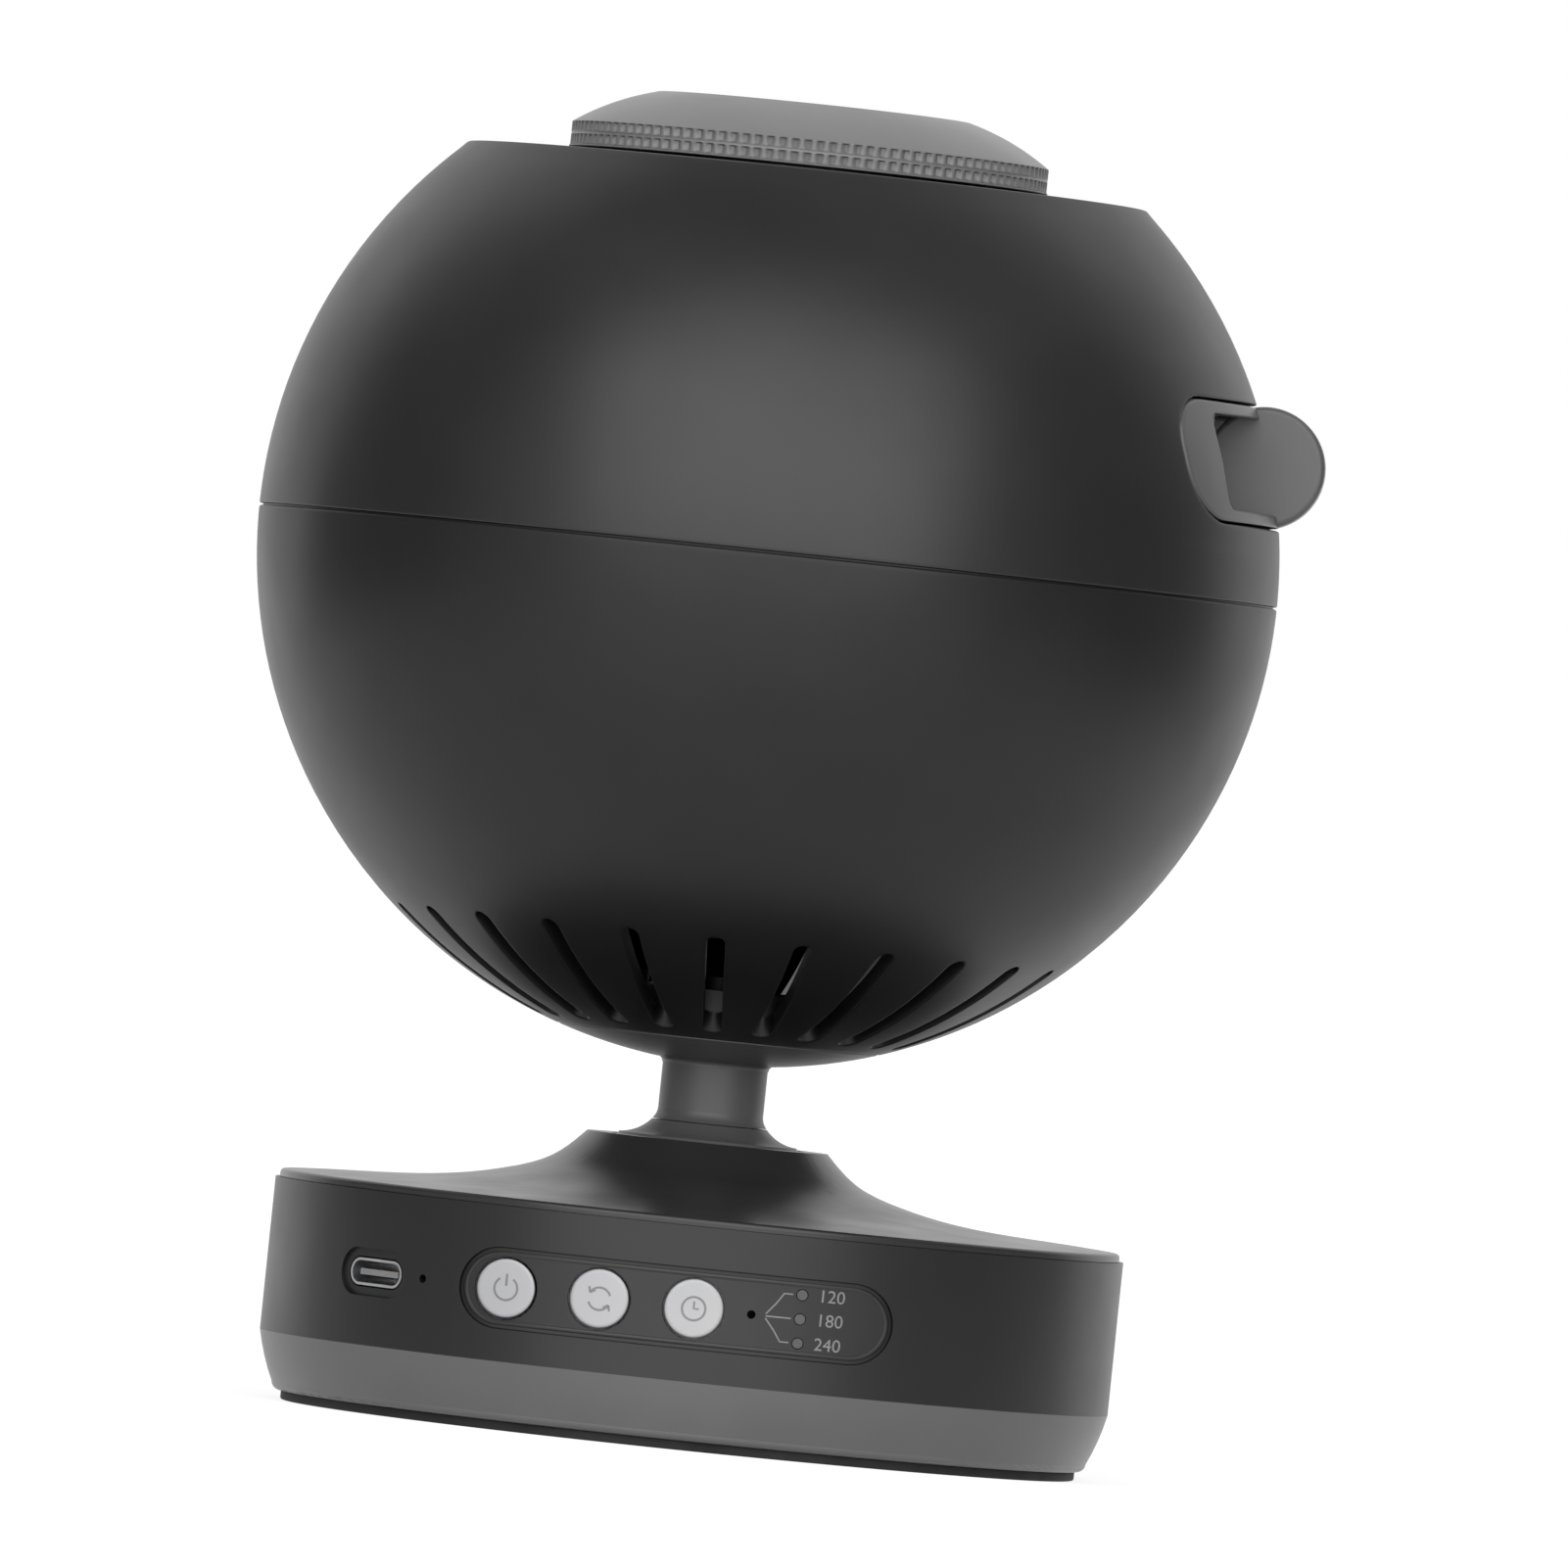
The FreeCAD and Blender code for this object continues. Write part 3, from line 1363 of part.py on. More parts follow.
def build():
    pieces = {
        "rubber_foot": rubber_foot(),
        "base_bottom": base_bottom(),
        "ballast_plate": ballast_plate(),
        "battery_pack": battery_pack(),
        "main_board": main_board(),
        "button_board": button_board(),
        "tact_switches": tact_switches(),
        "indicator_leds": indicator_leds(),
        "light_pipe": light_pipe(),
        "base_housing": base_housing(),
        "control_panel": control_panel(),
        "usb_socket": usb_socket(),
        "usb_tongue": usb_tongue(),
        "base_top_cover": base_top_cover(),
        "base_screws": base_screws(),
        "socket_ring": socket_ring(),
        "disc_spring": disc_spring(),
        "socket_retainer": socket_retainer(),
        "friction_cup": friction_cup(),
        "neck_ball": neck_ball(),
        "neck_tube": neck_tube(),
        "neck_nut": neck_nut(),
    }
    for name, x in zip(button_names, button_xs):
        pieces[name] = push_button(x)
    head = {
        "bottom_cap": bottom_cap(),
        "lower_shell": lower_shell(),
        "upper_shell": upper_shell(),
        "deck_plate": deck_plate(),
        "lamp_tube": lamp_tube(),
        "condenser_rear": condenser(condenser_seats[0]),
        "condenser_front": condenser(condenser_seats[1]),
        "heat_sink": heat_sink(),
        "led_board": led_board(),
        "led_emitter": led_emitter(),
        "gear_motor": gear_motor(),
        "tray_rail_front": tray_rail(-1),
        "tray_rail_back": tray_rail(1),
        "head_screws": head_screws(),
        "tray_front": tray_front(),
        "grip": grip(),
        "tray_plate": tray_plate(),
        "tray_screws": tray_screws(),
        "disc_carrier": disc_carrier(),
        "film_disc": film_disc(),
        "disc_clamp": disc_clamp(),
        "drive_pinion": drive_pinion(),
        "motor_shaft": motor_shaft(),
        "focus_ring": focus_ring(),
        "focus_clip": focus_clip(),
        "lens_barrel": lens_barrel(),
        "lens_cell": lens_cell(),
        "front_lens": front_lens(),
        "rear_lens": rear_lens(),
        "lens_retainer": lens_retainer(),
        "rear_retainer": rear_retainer(),
    }
    for name, shape in head.items():
        pieces[name] = lifted(shape)
    return pieces


os.makedirs("parts", exist_ok=True)
for node, solid in build().items():
    solid.exportStep(f"parts/{node}.step")
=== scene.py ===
"""Looks of the desk planetarium projector: fine pieces, materials, camera and studio."""

import math

import bmesh
import bpy
from mathutils import Matrix, Vector


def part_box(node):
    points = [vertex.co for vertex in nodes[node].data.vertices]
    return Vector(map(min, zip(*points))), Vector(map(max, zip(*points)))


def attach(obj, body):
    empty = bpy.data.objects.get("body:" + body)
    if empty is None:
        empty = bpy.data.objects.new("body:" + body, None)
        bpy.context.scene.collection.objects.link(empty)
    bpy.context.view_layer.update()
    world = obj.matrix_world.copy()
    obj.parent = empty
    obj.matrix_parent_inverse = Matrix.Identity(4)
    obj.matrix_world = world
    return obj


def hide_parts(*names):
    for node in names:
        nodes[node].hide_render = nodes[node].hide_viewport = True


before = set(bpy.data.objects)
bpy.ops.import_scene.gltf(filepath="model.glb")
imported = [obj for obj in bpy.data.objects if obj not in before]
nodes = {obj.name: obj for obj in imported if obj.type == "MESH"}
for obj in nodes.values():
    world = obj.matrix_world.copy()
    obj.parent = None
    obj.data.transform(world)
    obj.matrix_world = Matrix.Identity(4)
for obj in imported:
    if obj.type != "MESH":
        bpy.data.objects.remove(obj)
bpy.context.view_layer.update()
MM = 0.001
X, Y, Z = 0, 1, 2


def corners(node):
    """Low and high corner of a CAD node's box in mm, to 0.01 mm."""
    return [[round(value / MM, 2) for value in corner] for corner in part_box(node)]


# Sizes in mm. Heights that end in _h are measured from the middle of the sphere.
head_z = 104.2
head_radius = corners("lower_shell")[1][Y]
shell_wall = 2.2
shell_inner = head_radius - shell_wall
flange_drop = 53.9
edge = 0.25
# The seam: half its gap, the shells' radius at its edges and the radius at its bottom.
seam_half = 0.12
seam_radius = 59.9995
lip_radius = 59.55

vent_outer = 39.8
vent_inner = 21.3
vent_width = 2.2
vent_edge = 0.2
# Radii between which the shell's own grid is left open for the vents, outside and inside.
outer_reach = (20.2, 41.4)
inner_reach = (21.12, 41.4)

front_low, front_high = corners("tray_front")
drawer_h = (front_low[Z] + front_high[Z]) / 2 - head_z
drawer_back_x = front_low[X]
pocket_floor_x = 50.5
front_gap = 0.3
# Rounded rectangles of the drawer: width, height and radius of the corners.
front_size = (front_high[Y] - front_low[Y], front_high[Z] - front_low[Z], 6.0)
pocket_size = (48.4, 11.0, 1.5)
# Heights between which the shell's own grid is left open for the drawer.
opening_low = 6.2
opening_high = 27.2

ring_low, ring_high = corners("focus_ring")
ring_foot_radius = ring_high[X]
ring_top_h = ring_high[Z] - head_z
ring_sleeve_h = ring_low[Z] - head_z
rib_depth = 0.45

base_wall = 2.2
base_inner = corners("base_housing")[1][Y] - base_wall
panel_low, panel_high = corners("control_panel")
panel_z = (panel_low[Z] + panel_high[Z]) / 2
panel_face = -panel_low[Y]
button_proud = 0.3
button_face = panel_face + button_proud
button_radius = 3.4
button_first_x = -19.8
button_pitch = 11.0
button_names = ("button_power", "button_spin", "button_timer")
button_x = [button_first_x + button_pitch * k for k in range(3)]
timer_pitch = 2.8

# Counts. BEND is the steps in half a corner, and the cuts are those that slot_loop takes.
# Each outline that is sewn into a shell has as many points as the window left for it.
COLUMNS = 288
SECTORS = 24
RIBS = 120
BEND = 4
DRAWER_CUTS = (56, 2, BEND)
VENT_CUTS = (20, 0, BEND)
OPENING_HALF = DRAWER_CUTS[0] // 2 + BEND
OPENING_ROWS = DRAWER_CUTS[1] + 2 * BEND
VENT_ROWS = VENT_CUTS[0] + 2 * BEND


# --- mesh tools
def piece(name, patches, body, look, stands_for=(), crisp=40, z=0.0):
    """Object made of patches of points and faces in mm, merged where their points meet.
    look is a material and the name of the record's slot that it belongs to; the slot's name is not
    used. Edges bent by more than crisp degrees stay sharp, and z lifts the piece."""
    finish, slot = look
    work = bmesh.new()
    for points, faces in patches:
        made = [work.verts.new((p[0] * MM, p[1] * MM, (p[2] + z) * MM)) for p in points]
        for face in faces:
            work.faces.new([made[i] for i in face])
    bmesh.ops.remove_doubles(work, verts=work.verts, dist=0.0005 * MM)
    bmesh.ops.recalc_face_normals(work, faces=work.faces)
    mesh = bpy.data.meshes.new(name)
    work.to_mesh(mesh)
    work.free()
    mesh.shade_smooth()
    mesh.set_sharp_from_angle(angle=math.radians(crisp))
    mesh.materials.append(finish)
    thing = bpy.data.objects.new(name, mesh)
    bpy.context.collection.objects.link(thing)
    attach(thing, body)
    if stands_for:
        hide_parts(*stands_for)
    return thing


def skin(loops, holes=()):
    """Quads between neighbouring loops; holes are the (loop, point) places left open."""
    points = [p for loop in loops for p in loop]
    count = len(loops[0])
    faces = []
    for k in range(len(loops) - 1):
        for i in range(count):
            if (k, i) not in holes:
                a, b = k * count + i, k * count + (i + 1) % count
                faces.append((a, b, b + count, a + count))
    return points, faces


def capped(loops):
    """Skin of the loops with a face over the first and the last one."""
    points, faces = skin(loops)
    count = len(loops[0])
    last = len(points) - count
    return points, faces + [tuple(range(count)), tuple(range(last, last + count))]


def turns(segments):
    """Angles of evenly spaced points round a circle."""
    return [2 * math.pi * k / segments for k in range(segments)]


def ring(radius, height, segments, wave=None):
    """Circle of points about Z; wave gives a radius for an angle."""
    points = []
    for a in turns(segments):
        r = wave(a) if wave else radius
        points.append((r * math.cos(a), r * math.sin(a), height))
    return points


def turned(outline, segments, holes=()):
    """Skin of a closed outline of (radius, height) points turned about Z."""
    rings = [ring(r, z, segments) for r, z in outline]
    return skin(rings + rings[:1], holes)


def circle(x, y, radius, start=0.0, end=360.0, steps=40):
    """Points of a circle, or of its part from start to end degrees, with both ends."""
    angles = [math.radians(start + (end - start) * k / steps) for k in range(steps + 1)]
    return [(x + radius * math.cos(a), y + radius * math.sin(a)) for a in angles]


def rounded(corner_list, steps=4):
    """Closed outline through corners (r, z, fillet), each fillet drawn as a short arc."""
    outline = []
    for i, (x, y, fillet) in enumerate(corner_list):
        corner = Vector((x, y))
        if not fillet:
            outline.append((x, y))
            continue
        following = corner_list[(i + 1) % len(corner_list)]
        before = (Vector(corner_list[i - 1][:2]) - corner).normalized()
        after = (Vector(following[:2]) - corner).normalized()
        half = before.angle(after) / 2
        centre = corner + (before + after).normalized() * (fillet / math.sin(half))
        start = corner + before * (fillet / math.tan(half)) - centre
        sweep = math.copysign(math.pi - 2 * half, after.cross(before))
        for k in range(steps + 1):
            outline.append(tuple(centre + Matrix.Rotation(sweep * k / steps, 2) @ start))
    return outline


def arc(start, middle, end, steps):
    """Points of the circle arc from start through middle to end."""
    (ax, ay), (bx, by), (cx, cy) = start, middle, end
    d = 2 * (ax * (by - cy) + bx * (cy - ay) + cx * (ay - by))
    a2, b2, c2 = ax * ax + ay * ay, bx * bx + by * by, cx * cx + cy * cy
    ox = (a2 * (by - cy) + b2 * (cy - ay) + c2 * (ay - by)) / d
    oy = (a2 * (cx - bx) + b2 * (ax - cx) + c2 * (bx - ax)) / d
    radius = math.hypot(ax - ox, ay - oy)
    first, mid, last = (math.atan2(y - oy, x - ox) for x, y in (start, middle, end))
    turn = (last - first) % (2 * math.pi)
    if (mid - first) % (2 * math.pi) > turn:
        turn -= 2 * math.pi
    angles = [first + turn * k / steps for k in range(steps + 1)]
    return [(ox + radius * math.cos(a), oy + radius * math.sin(a)) for a in angles]


def slot_loop(size, cuts):
    """Rounded rectangle of (width, height, corner), from one corner's middle round to it again.
    cuts are the steps along its wide sides, its high sides and half a corner."""
    width, height, corner = size
    half_w, half_h = width / 2 - corner, height / 2 - corner
    centres = [(-half_w, -half_h), (half_w, -half_h), (half_w, half_h), (-half_w, half_h)]
    points = []
    for k, (cx, cy) in enumerate(centres):
        nx, ny = centres[(k + 1) % 4]
        out = 270 + 90 * k
        rise_x = corner * math.cos(math.radians(out))
        rise_y = corner * math.sin(math.radians(out))
        steps = cuts[k % 2]
        points += circle(cx, cy, corner, out - 45, out, cuts[2])[:-1]
        for step in range(steps):
            t = step / steps
            points.append((cx + (nx - cx) * t + rise_x, cy + (ny - cy) * t + rise_y))
        points += circle(nx, ny, corner, out, out + 45, cuts[2])[:-1]
    return points


def window(point, u_low, u_high, v_low, v_high):
    """Grid points round a window, in the order of slot_loop."""
    loop = [point(u, v_low) for u in range(u_low, u_high)]
    loop += [point(u_high, v) for v in range(v_low, v_high)]
    loop += [point(u, v_high) for u in range(u_high, u_low, -1)]
    return loop + [point(u_low, v) for v in range(v_high, v_low, -1)]


def between(loop_a, loop_b, share):
    """Loop that lies a share of the way from one loop to another."""
    return [tuple(a + (b - a) * share for a, b in zip(p, q)) for p, q in zip(loop_a, loop_b)]


def fillet_steps(size, steps=3):
    """(offset, depth) from the face down into a hole's wall, round its edge."""
    angles = [math.pi / 2 * k / steps for k in range(steps + 1)]
    return [(size * (1 - math.sin(a)), size * (1 - math.cos(a))) for a in angles]


# --- materials
def linear(colour):
    """Linear RGBA of an sRGB colour written as six hex digits."""
    parts = [int(colour[i:i + 2], 16) / 255 for i in (0, 2, 4)]
    return (*[c / 12.92 if c <= 0.04045 else ((c + 0.055) / 1.055) ** 2.4 for c in parts], 1.0)


def add(tree, kind, inputs=None, **settings):
    """Adds a node; each input is a value or the output socket that it is linked to."""
    made = tree.nodes.new(kind)
    for key, value in settings.items():
        setattr(made, key, value)
    for key, value in (inputs or {}).items():
        if isinstance(value, bpy.types.NodeSocket):
            tree.links.new(value, made.inputs[key])
        else:
            made.inputs[key].default_value = value
    return made


def shader_of(name, **sockets):
    """New material with a Principled shader, its tree and its object coordinates."""
    material = bpy.data.materials.new(name)
    material.use_nodes = True
    tree = material.node_tree
    shader = tree.nodes["Principled BSDF"]
    for key, value in sockets.items():
        shader.inputs[key.replace("_", " ")].default_value = value
    place = add(tree, "ShaderNodeTexCoord").outputs["Object"]
    return material, tree, shader, place


def clouds(tree, place, size, detail, low, high):
    """Value that wanders from low to high in clouds of about size mm."""
    cloud = add(tree, "ShaderNodeTexNoise", {"Vector": place, "Scale": 1 / (size * MM),
                                             "Detail": detail})
    share = add(tree, "ShaderNodeMapRange", {"Value": cloud.outputs["Fac"], "From Min": 0.3,
                                             "From Max": 0.7, "To Min": low, "To Max": high})
    return share.outputs["Result"]


def two_tone(tree, place, size, colours):
    """Cloudy mix of two close colours, with clouds of about size mm."""
    share = clouds(tree, place, size, 3.0, 0.0, 1.0)
    mix = add(tree, "ShaderNodeMix", {"Factor": share, "A": linear(colours[0]),
                                      "B": linear(colours[1])}, data_type="RGBA")
    return mix.outputs["Result"]


def grained(tree, place, size, depth):
    """Bump of a fine even grain of about size mm, depth mm high."""
    grain = add(tree, "ShaderNodeTexNoise", {"Vector": place, "Scale": 1 / (size * MM),
                                             "Detail": 2.0})
    bump = add(tree, "ShaderNodeBump", {"Height": grain.outputs["Fac"], "Distance": depth * MM,
                                        "Strength": 1.0})
    return bump.outputs["Normal"]


def surface(name, colours, cloud, roughness, patch, grain=None, stretch=None, **sockets):
    """Material with two close colours in clouds and a roughness in patches, as handling
    polishes a surface. cloud and patch are sizes in mm, grain is its size and depth in mm,
    and stretch squeezes the grain into drawn lines."""
    material, tree, shader, place = shader_of(name, **sockets)
    tree.links.new(two_tone(tree, place, cloud, colours), shader.inputs["Base Color"])
    tree.links.new(clouds(tree, place, patch, 4.0, *roughness), shader.inputs["Roughness"])
    if stretch:
        place = add(tree, "ShaderNodeMapping", {"Vector": place, "Scale": stretch}).outputs[0]
    if grain:
        tree.links.new(grained(tree, place, *grain), shader.inputs["Normal"])
    return material


# Size and depth in mm of the grain from a mould, and the stretch that draws grain out along Z.
mould_grain = (0.3, 0.006)
drawn = (1, 1, 0.05)


def moulded(name, colours, roughness, ior=1.5):
    """Injection-moulded plastic. The spark-eroded mould leaves a fine grain, drawn coarser
    than its real 0.05 mm, the colour wanders with the melt, and hands polish it unevenly."""
    return surface(name, colours, 14, roughness, 22, mould_grain, IOR=ior)


def metal(name, colours, roughness, stretch=None):
    """Plated or machined metal with light tarnish, and a fine grain or, if stretched, drawn
    lines. Both are 0.4 mm wide, which is coarser than real ones, so that they show."""
    return surface(name, colours, 6, roughness, 3, (0.4, 0.004), stretch, Metallic=1.0)


def small_part(name, colours, roughness, size=3.0):
    """Small moulded, wrapped or printed part with a gentle variation of colour and gloss."""
    return surface(name, colours, size, roughness, size, (0.5, 0.005))


def neck_with_painted_shade():
    """Grey neck, black above the flange's drop where it is inside the sphere: painted shade there.
    """
    material, tree, shader, place = shader_of("neck_grey", IOR=1.5)
    paint = two_tone(tree, place, 14, ("5a5a5a", "606060"))
    # Above the flange's drop the neck is inside the sphere; black there is painted shade.
    height = add(tree, "ShaderNodeSeparateXYZ", {"Vector": place}).outputs["Z"]
    painted_shade = add(tree, "ShaderNodeMath", {0: height, 1: (head_z - flange_drop) * MM},
               operation="GREATER_THAN").outputs[0]
    mix = add(tree, "ShaderNodeMix", {"Factor": painted_shade, "A": paint, "B": linear("161616")},
              data_type="RGBA")
    tree.links.new(mix.outputs["Result"], shader.inputs["Base Color"])
    tree.links.new(clouds(tree, place, 22, 4.0, 0.38, 0.46), shader.inputs["Roughness"])
    tree.links.new(grained(tree, place, *mould_grain), shader.inputs["Normal"])
    return material


def star_film():
    """Dark printed polyester disc with clear pinholes of several sizes, strewn as stars.
    Each kind has a spacing in mm, and its radius is a share of that."""
    material, tree, shader, place = shader_of("star_film", IOR=1.6, Roughness=0.12)
    spots = None
    for spacing, share in ((1.2, 0.10), (2.6, 0.09), (6.0, 0.06)):
        cells = add(tree, "ShaderNodeTexVoronoi", {"Vector": place, "Scale": 1 / (spacing * MM)})
        dot = add(tree, "ShaderNodeMath", {0: cells.outputs["Distance"], 1: share},
                  operation="LESS_THAN").outputs[0]
        spots = dot if spots is None else add(tree, "ShaderNodeMath", {0: spots, 1: dot},
                                              operation="MAXIMUM").outputs[0]
    mix = add(tree, "ShaderNodeMix", {"Factor": spots, "A": linear("10131f"),
                                      "B": linear("dfe4ea")}, data_type="RGBA")
    tree.links.new(mix.outputs["Result"], shader.inputs["Base Color"])
    return material


def circuit_board():
    """Glass-fibre laminate under green solder mask: the weave shows through as a fine bump."""
    material, tree, shader, place = shader_of("circuit_board", IOR=1.5, Roughness=0.35)
    green = two_tone(tree, place, 4, ("0d3a22", "12472b"))
    tree.links.new(green, shader.inputs["Base Color"])
    weave = add(tree, "ShaderNodeTexWave", {"Vector": place, "Scale": 1 / (3.0 * MM)})
    bump = add(tree, "ShaderNodeBump", {"Height": weave.outputs["Fac"], "Distance": 0.01 * MM})
    tree.links.new(bump.outputs["Normal"], shader.inputs["Normal"])
    return material


# ABS from spark-eroded moulds: matt, in blacks and greys that differ a little from each other.
# The lower shell has a lower IOR, which makes it mirror less of the pale floor.
shell_black = moulded("shell_black", ("1f1f1f", "242424"), (0.37, 0.45))
lower_black = moulded("lower_black", ("202020", "252525"), (0.36, 0.44), ior=1.38)
cap_black = moulded("cap_black", ("686868", "6e6e6e"), (0.34, 0.42))
wall_black = moulded("wall_black", ("161616", "1b1b1b"), (0.34, 0.42))
panel_black = moulded("panel_black", ("202020", "252525"), (0.40, 0.50))
# The panel's bead is a little lighter than the panel: a painted highlight along its ridge.
rim_painted_highlight = moulded("rim_painted_highlight", ("262626", "2c2c2c"), (0.36, 0.44))
inner_black = moulded("inner_black", ("141414", "191919"), (0.50, 0.60))
mid_grey = moulded("mid_grey", ("5c5c5c", "626262"), (0.34, 0.42))
band_grey = moulded("band_grey", ("6b6b6b", "717171"), (0.32, 0.40))
ring_grey = moulded("ring_grey", ("7a7a7a", "818181"), (0.34, 0.44))
button_white = moulded("button_white", ("c6c6c9", "cececf"), (0.36, 0.44))
# Moulded acetal: off-white and a little waxy.
acetal = moulded("acetal", ("dcdad4", "e2e0da"), (0.30, 0.40))
# Black ABS from a polished mould: glossy, with hair scratches that soften what it mirrors.
gloss_black = surface("gloss_black", ("2a2a2b", "303031"), 20, (0.28, 0.34), 9, (4.0, 0.01),
                      IOR=1.5)
neck_grey = neck_with_painted_shade()
# Die-cut rubber sheet: dull, with a fine cloth-like surface and chalky dust.
foot_rubber = surface("foot_rubber", ("1c1c1c", "222222"), 5, (0.75, 0.9), 6, (0.4, 0.02),
                      IOR=1.5)
# Black anodised aluminium: its dyed oxide looks like a fine matt plastic, so it is made as one.
anodised = moulded("anodised", ("17171a", "1e1e21"), (0.38, 0.48), ior=1.6)
# Bright steel, the motor's drawn can and nickel plate: satin, with lines along Z.
steel = metal("steel", ("b4b6ba", "c0c2c6"), (0.28, 0.36), drawn)
motor_steel = metal("motor_steel", ("a8aaae", "b6b8bc"), (0.28, 0.38), drawn)
nickel = metal("nickel", ("c6c8ca", "d2d3d6"), (0.28, 0.36), drawn)
# Blackened screws and gold plate: a fine even grain.
black_steel = metal("black_steel", ("28282a", "303032"), (0.34, 0.46))
gold = metal("gold", ("d8b45c", "e2c06c"), (0.28, 0.34))
# Ground and polished crown glass, with a trace of green and a faint smear.
glass = surface("optical_glass", ("f5faf7", "f8fbf9"), 8, (0.0, 0.012), 5, IOR=1.52,
                Transmission_Weight=1.0)
# Frosted moulded acrylic: it hides the lamps behind it until they light.
acrylic = surface("clear_acrylic", ("7a7a7e", "848488"), 3, (0.35, 0.50), 2, IOR=1.49,
                  Transmission_Weight=0.5)
film = star_film()
board = circuit_board()
# Moulded resin, silicone with phosphor, shrink wrap and screen-printed inks: all satin.
resin = small_part("grey_resin", ("8e8e90", "989899"), (0.4, 0.5))
phosphor = small_part("phosphor", ("e8d98a", "efe3a0"), (0.3, 0.4), 1.0)
cell_wrap = small_part("cell_wrap", ("1d4a7c", "245790"), (0.25, 0.35), 6.0)
print_grey = small_part("print_grey", ("8e8e90", "989899"), (0.5, 0.6), 1.0)
icon_grey = small_part("icon_grey", ("8a8a8e", "929296"), (0.45, 0.55), 1.0)

finishes = {
    shell_black: ["upper_shell"],
    cap_black: ["bottom_cap"],
    lower_black: ["lower_shell"],
    wall_black: ["base_housing"],
    gloss_black: ["base_top_cover"],
    panel_black: ["control_panel"],
    inner_black: ["deck_plate", "lamp_tube", "tray_rail_front", "tray_rail_back", "lens_barrel",
                  "lens_cell", "lens_retainer", "rear_retainer", "tray_plate", "disc_clamp",
                  "socket_ring", "socket_retainer", "tact_switches"],
    mid_grey: ["tray_front", "grip"],
    band_grey: ["base_bottom"],
    ring_grey: ["focus_ring"],
    neck_grey: ["neck_tube", "neck_ball"],
    button_white: button_names,
    acetal: ["disc_carrier", "drive_pinion", "friction_cup", "focus_clip"],
    foot_rubber: ["rubber_foot"],
    steel: ["base_screws", "disc_spring", "motor_shaft", "ballast_plate"],
    black_steel: ["head_screws", "tray_screws"],
    nickel: ["usb_socket"],
    motor_steel: ["gear_motor"],
    anodised: ["heat_sink", "neck_nut"],
    glass: ["front_lens", "rear_lens", "condenser_rear", "condenser_front"],
    acrylic: ["light_pipe"],
    film: ["film_disc"],
    board: ["main_board", "button_board", "led_board"],
    resin: ["usb_tongue"],
    phosphor: ["indicator_leds", "led_emitter"],
    cell_wrap: ["battery_pack"],
}
for finish, names in finishes.items():
    for name in names:
        nodes[name].data.materials.clear()
        nodes[name].data.materials.append(finish)


# --- shells of the sphere
def on_sphere(radius, a, b=0.0):
    """Third coordinate of a point of the sphere whose other two are a and b."""
    return math.sqrt(radius * radius - a * a - b * b)


def sphere_rows(radius, heights):
    """Outline points (radius, height) of the sphere at the given heights."""
    return [(on_sphere(radius, h), h) for h in heights]


def window_holes(starts, rows, columns):
    """Grid places of windows that start at these rings and cover these columns."""
    return {(start + k, i % COLUMNS) for start in starts for k in range(rows) for i in columns}


def drawer_loop(size, grow=0.0, cuts=DRAWER_CUTS):
    """Rounded rectangle of (y, z) points about the drawer's middle, grown all round."""
    width, height, corner = size
    loop = slot_loop((width + 2 * grow, height + 2 * grow, corner + grow), cuts)
    return [(y, z + drawer_h) for y, z in loop]


def on_side(loop, radius, depth=0.0):
    """Loop of (y, z) points laid on the sphere's right side, at a depth below it."""
    return [(on_sphere(radius, y, z) - depth, y, z) for y, z in loop]


def on_underside(loop, radius, depth=0.0):
    """Loop of (x, y) points laid on the sphere's underside, at a depth inside it."""
    return [(x, y, depth - on_sphere(radius, x, y)) for x, y in loop]


def opening_heights():
    """Heights of the grid's rows across the drawer's opening."""
    step = (opening_high - opening_low) / OPENING_ROWS
    return [opening_low + step * k for k in range(OPENING_ROWS + 1)]


def drawer_opening():
    """Skin round the drawer's opening in the upper shell, from outside to inside."""
    heights = opening_heights()

    def rim(grow):
        return drawer_loop(front_size, front_gap + grow)

    def skirt(radius):
        def point(u, v):
            a = 2 * math.pi * u / COLUMNS
            return (on_sphere(radius, heights[v]) * math.sin(a), heights[v])
        wide = window(point, -OPENING_HALF, OPENING_HALF, 0, OPENING_ROWS)
        shares = (0, 0.35, 0.7, 0.92, 1)
        return [on_side(between(wide, rim(2 * edge), share), radius) for share in shares]

    rounding = [on_side(rim(o), head_radius, depth) for o, depth in fillet_steps(edge)]
    inner_rim = [on_side(rim(0), shell_inner)]
    return skin(skirt(head_radius) + rounding + inner_rim + skirt(shell_inner)[::-1])


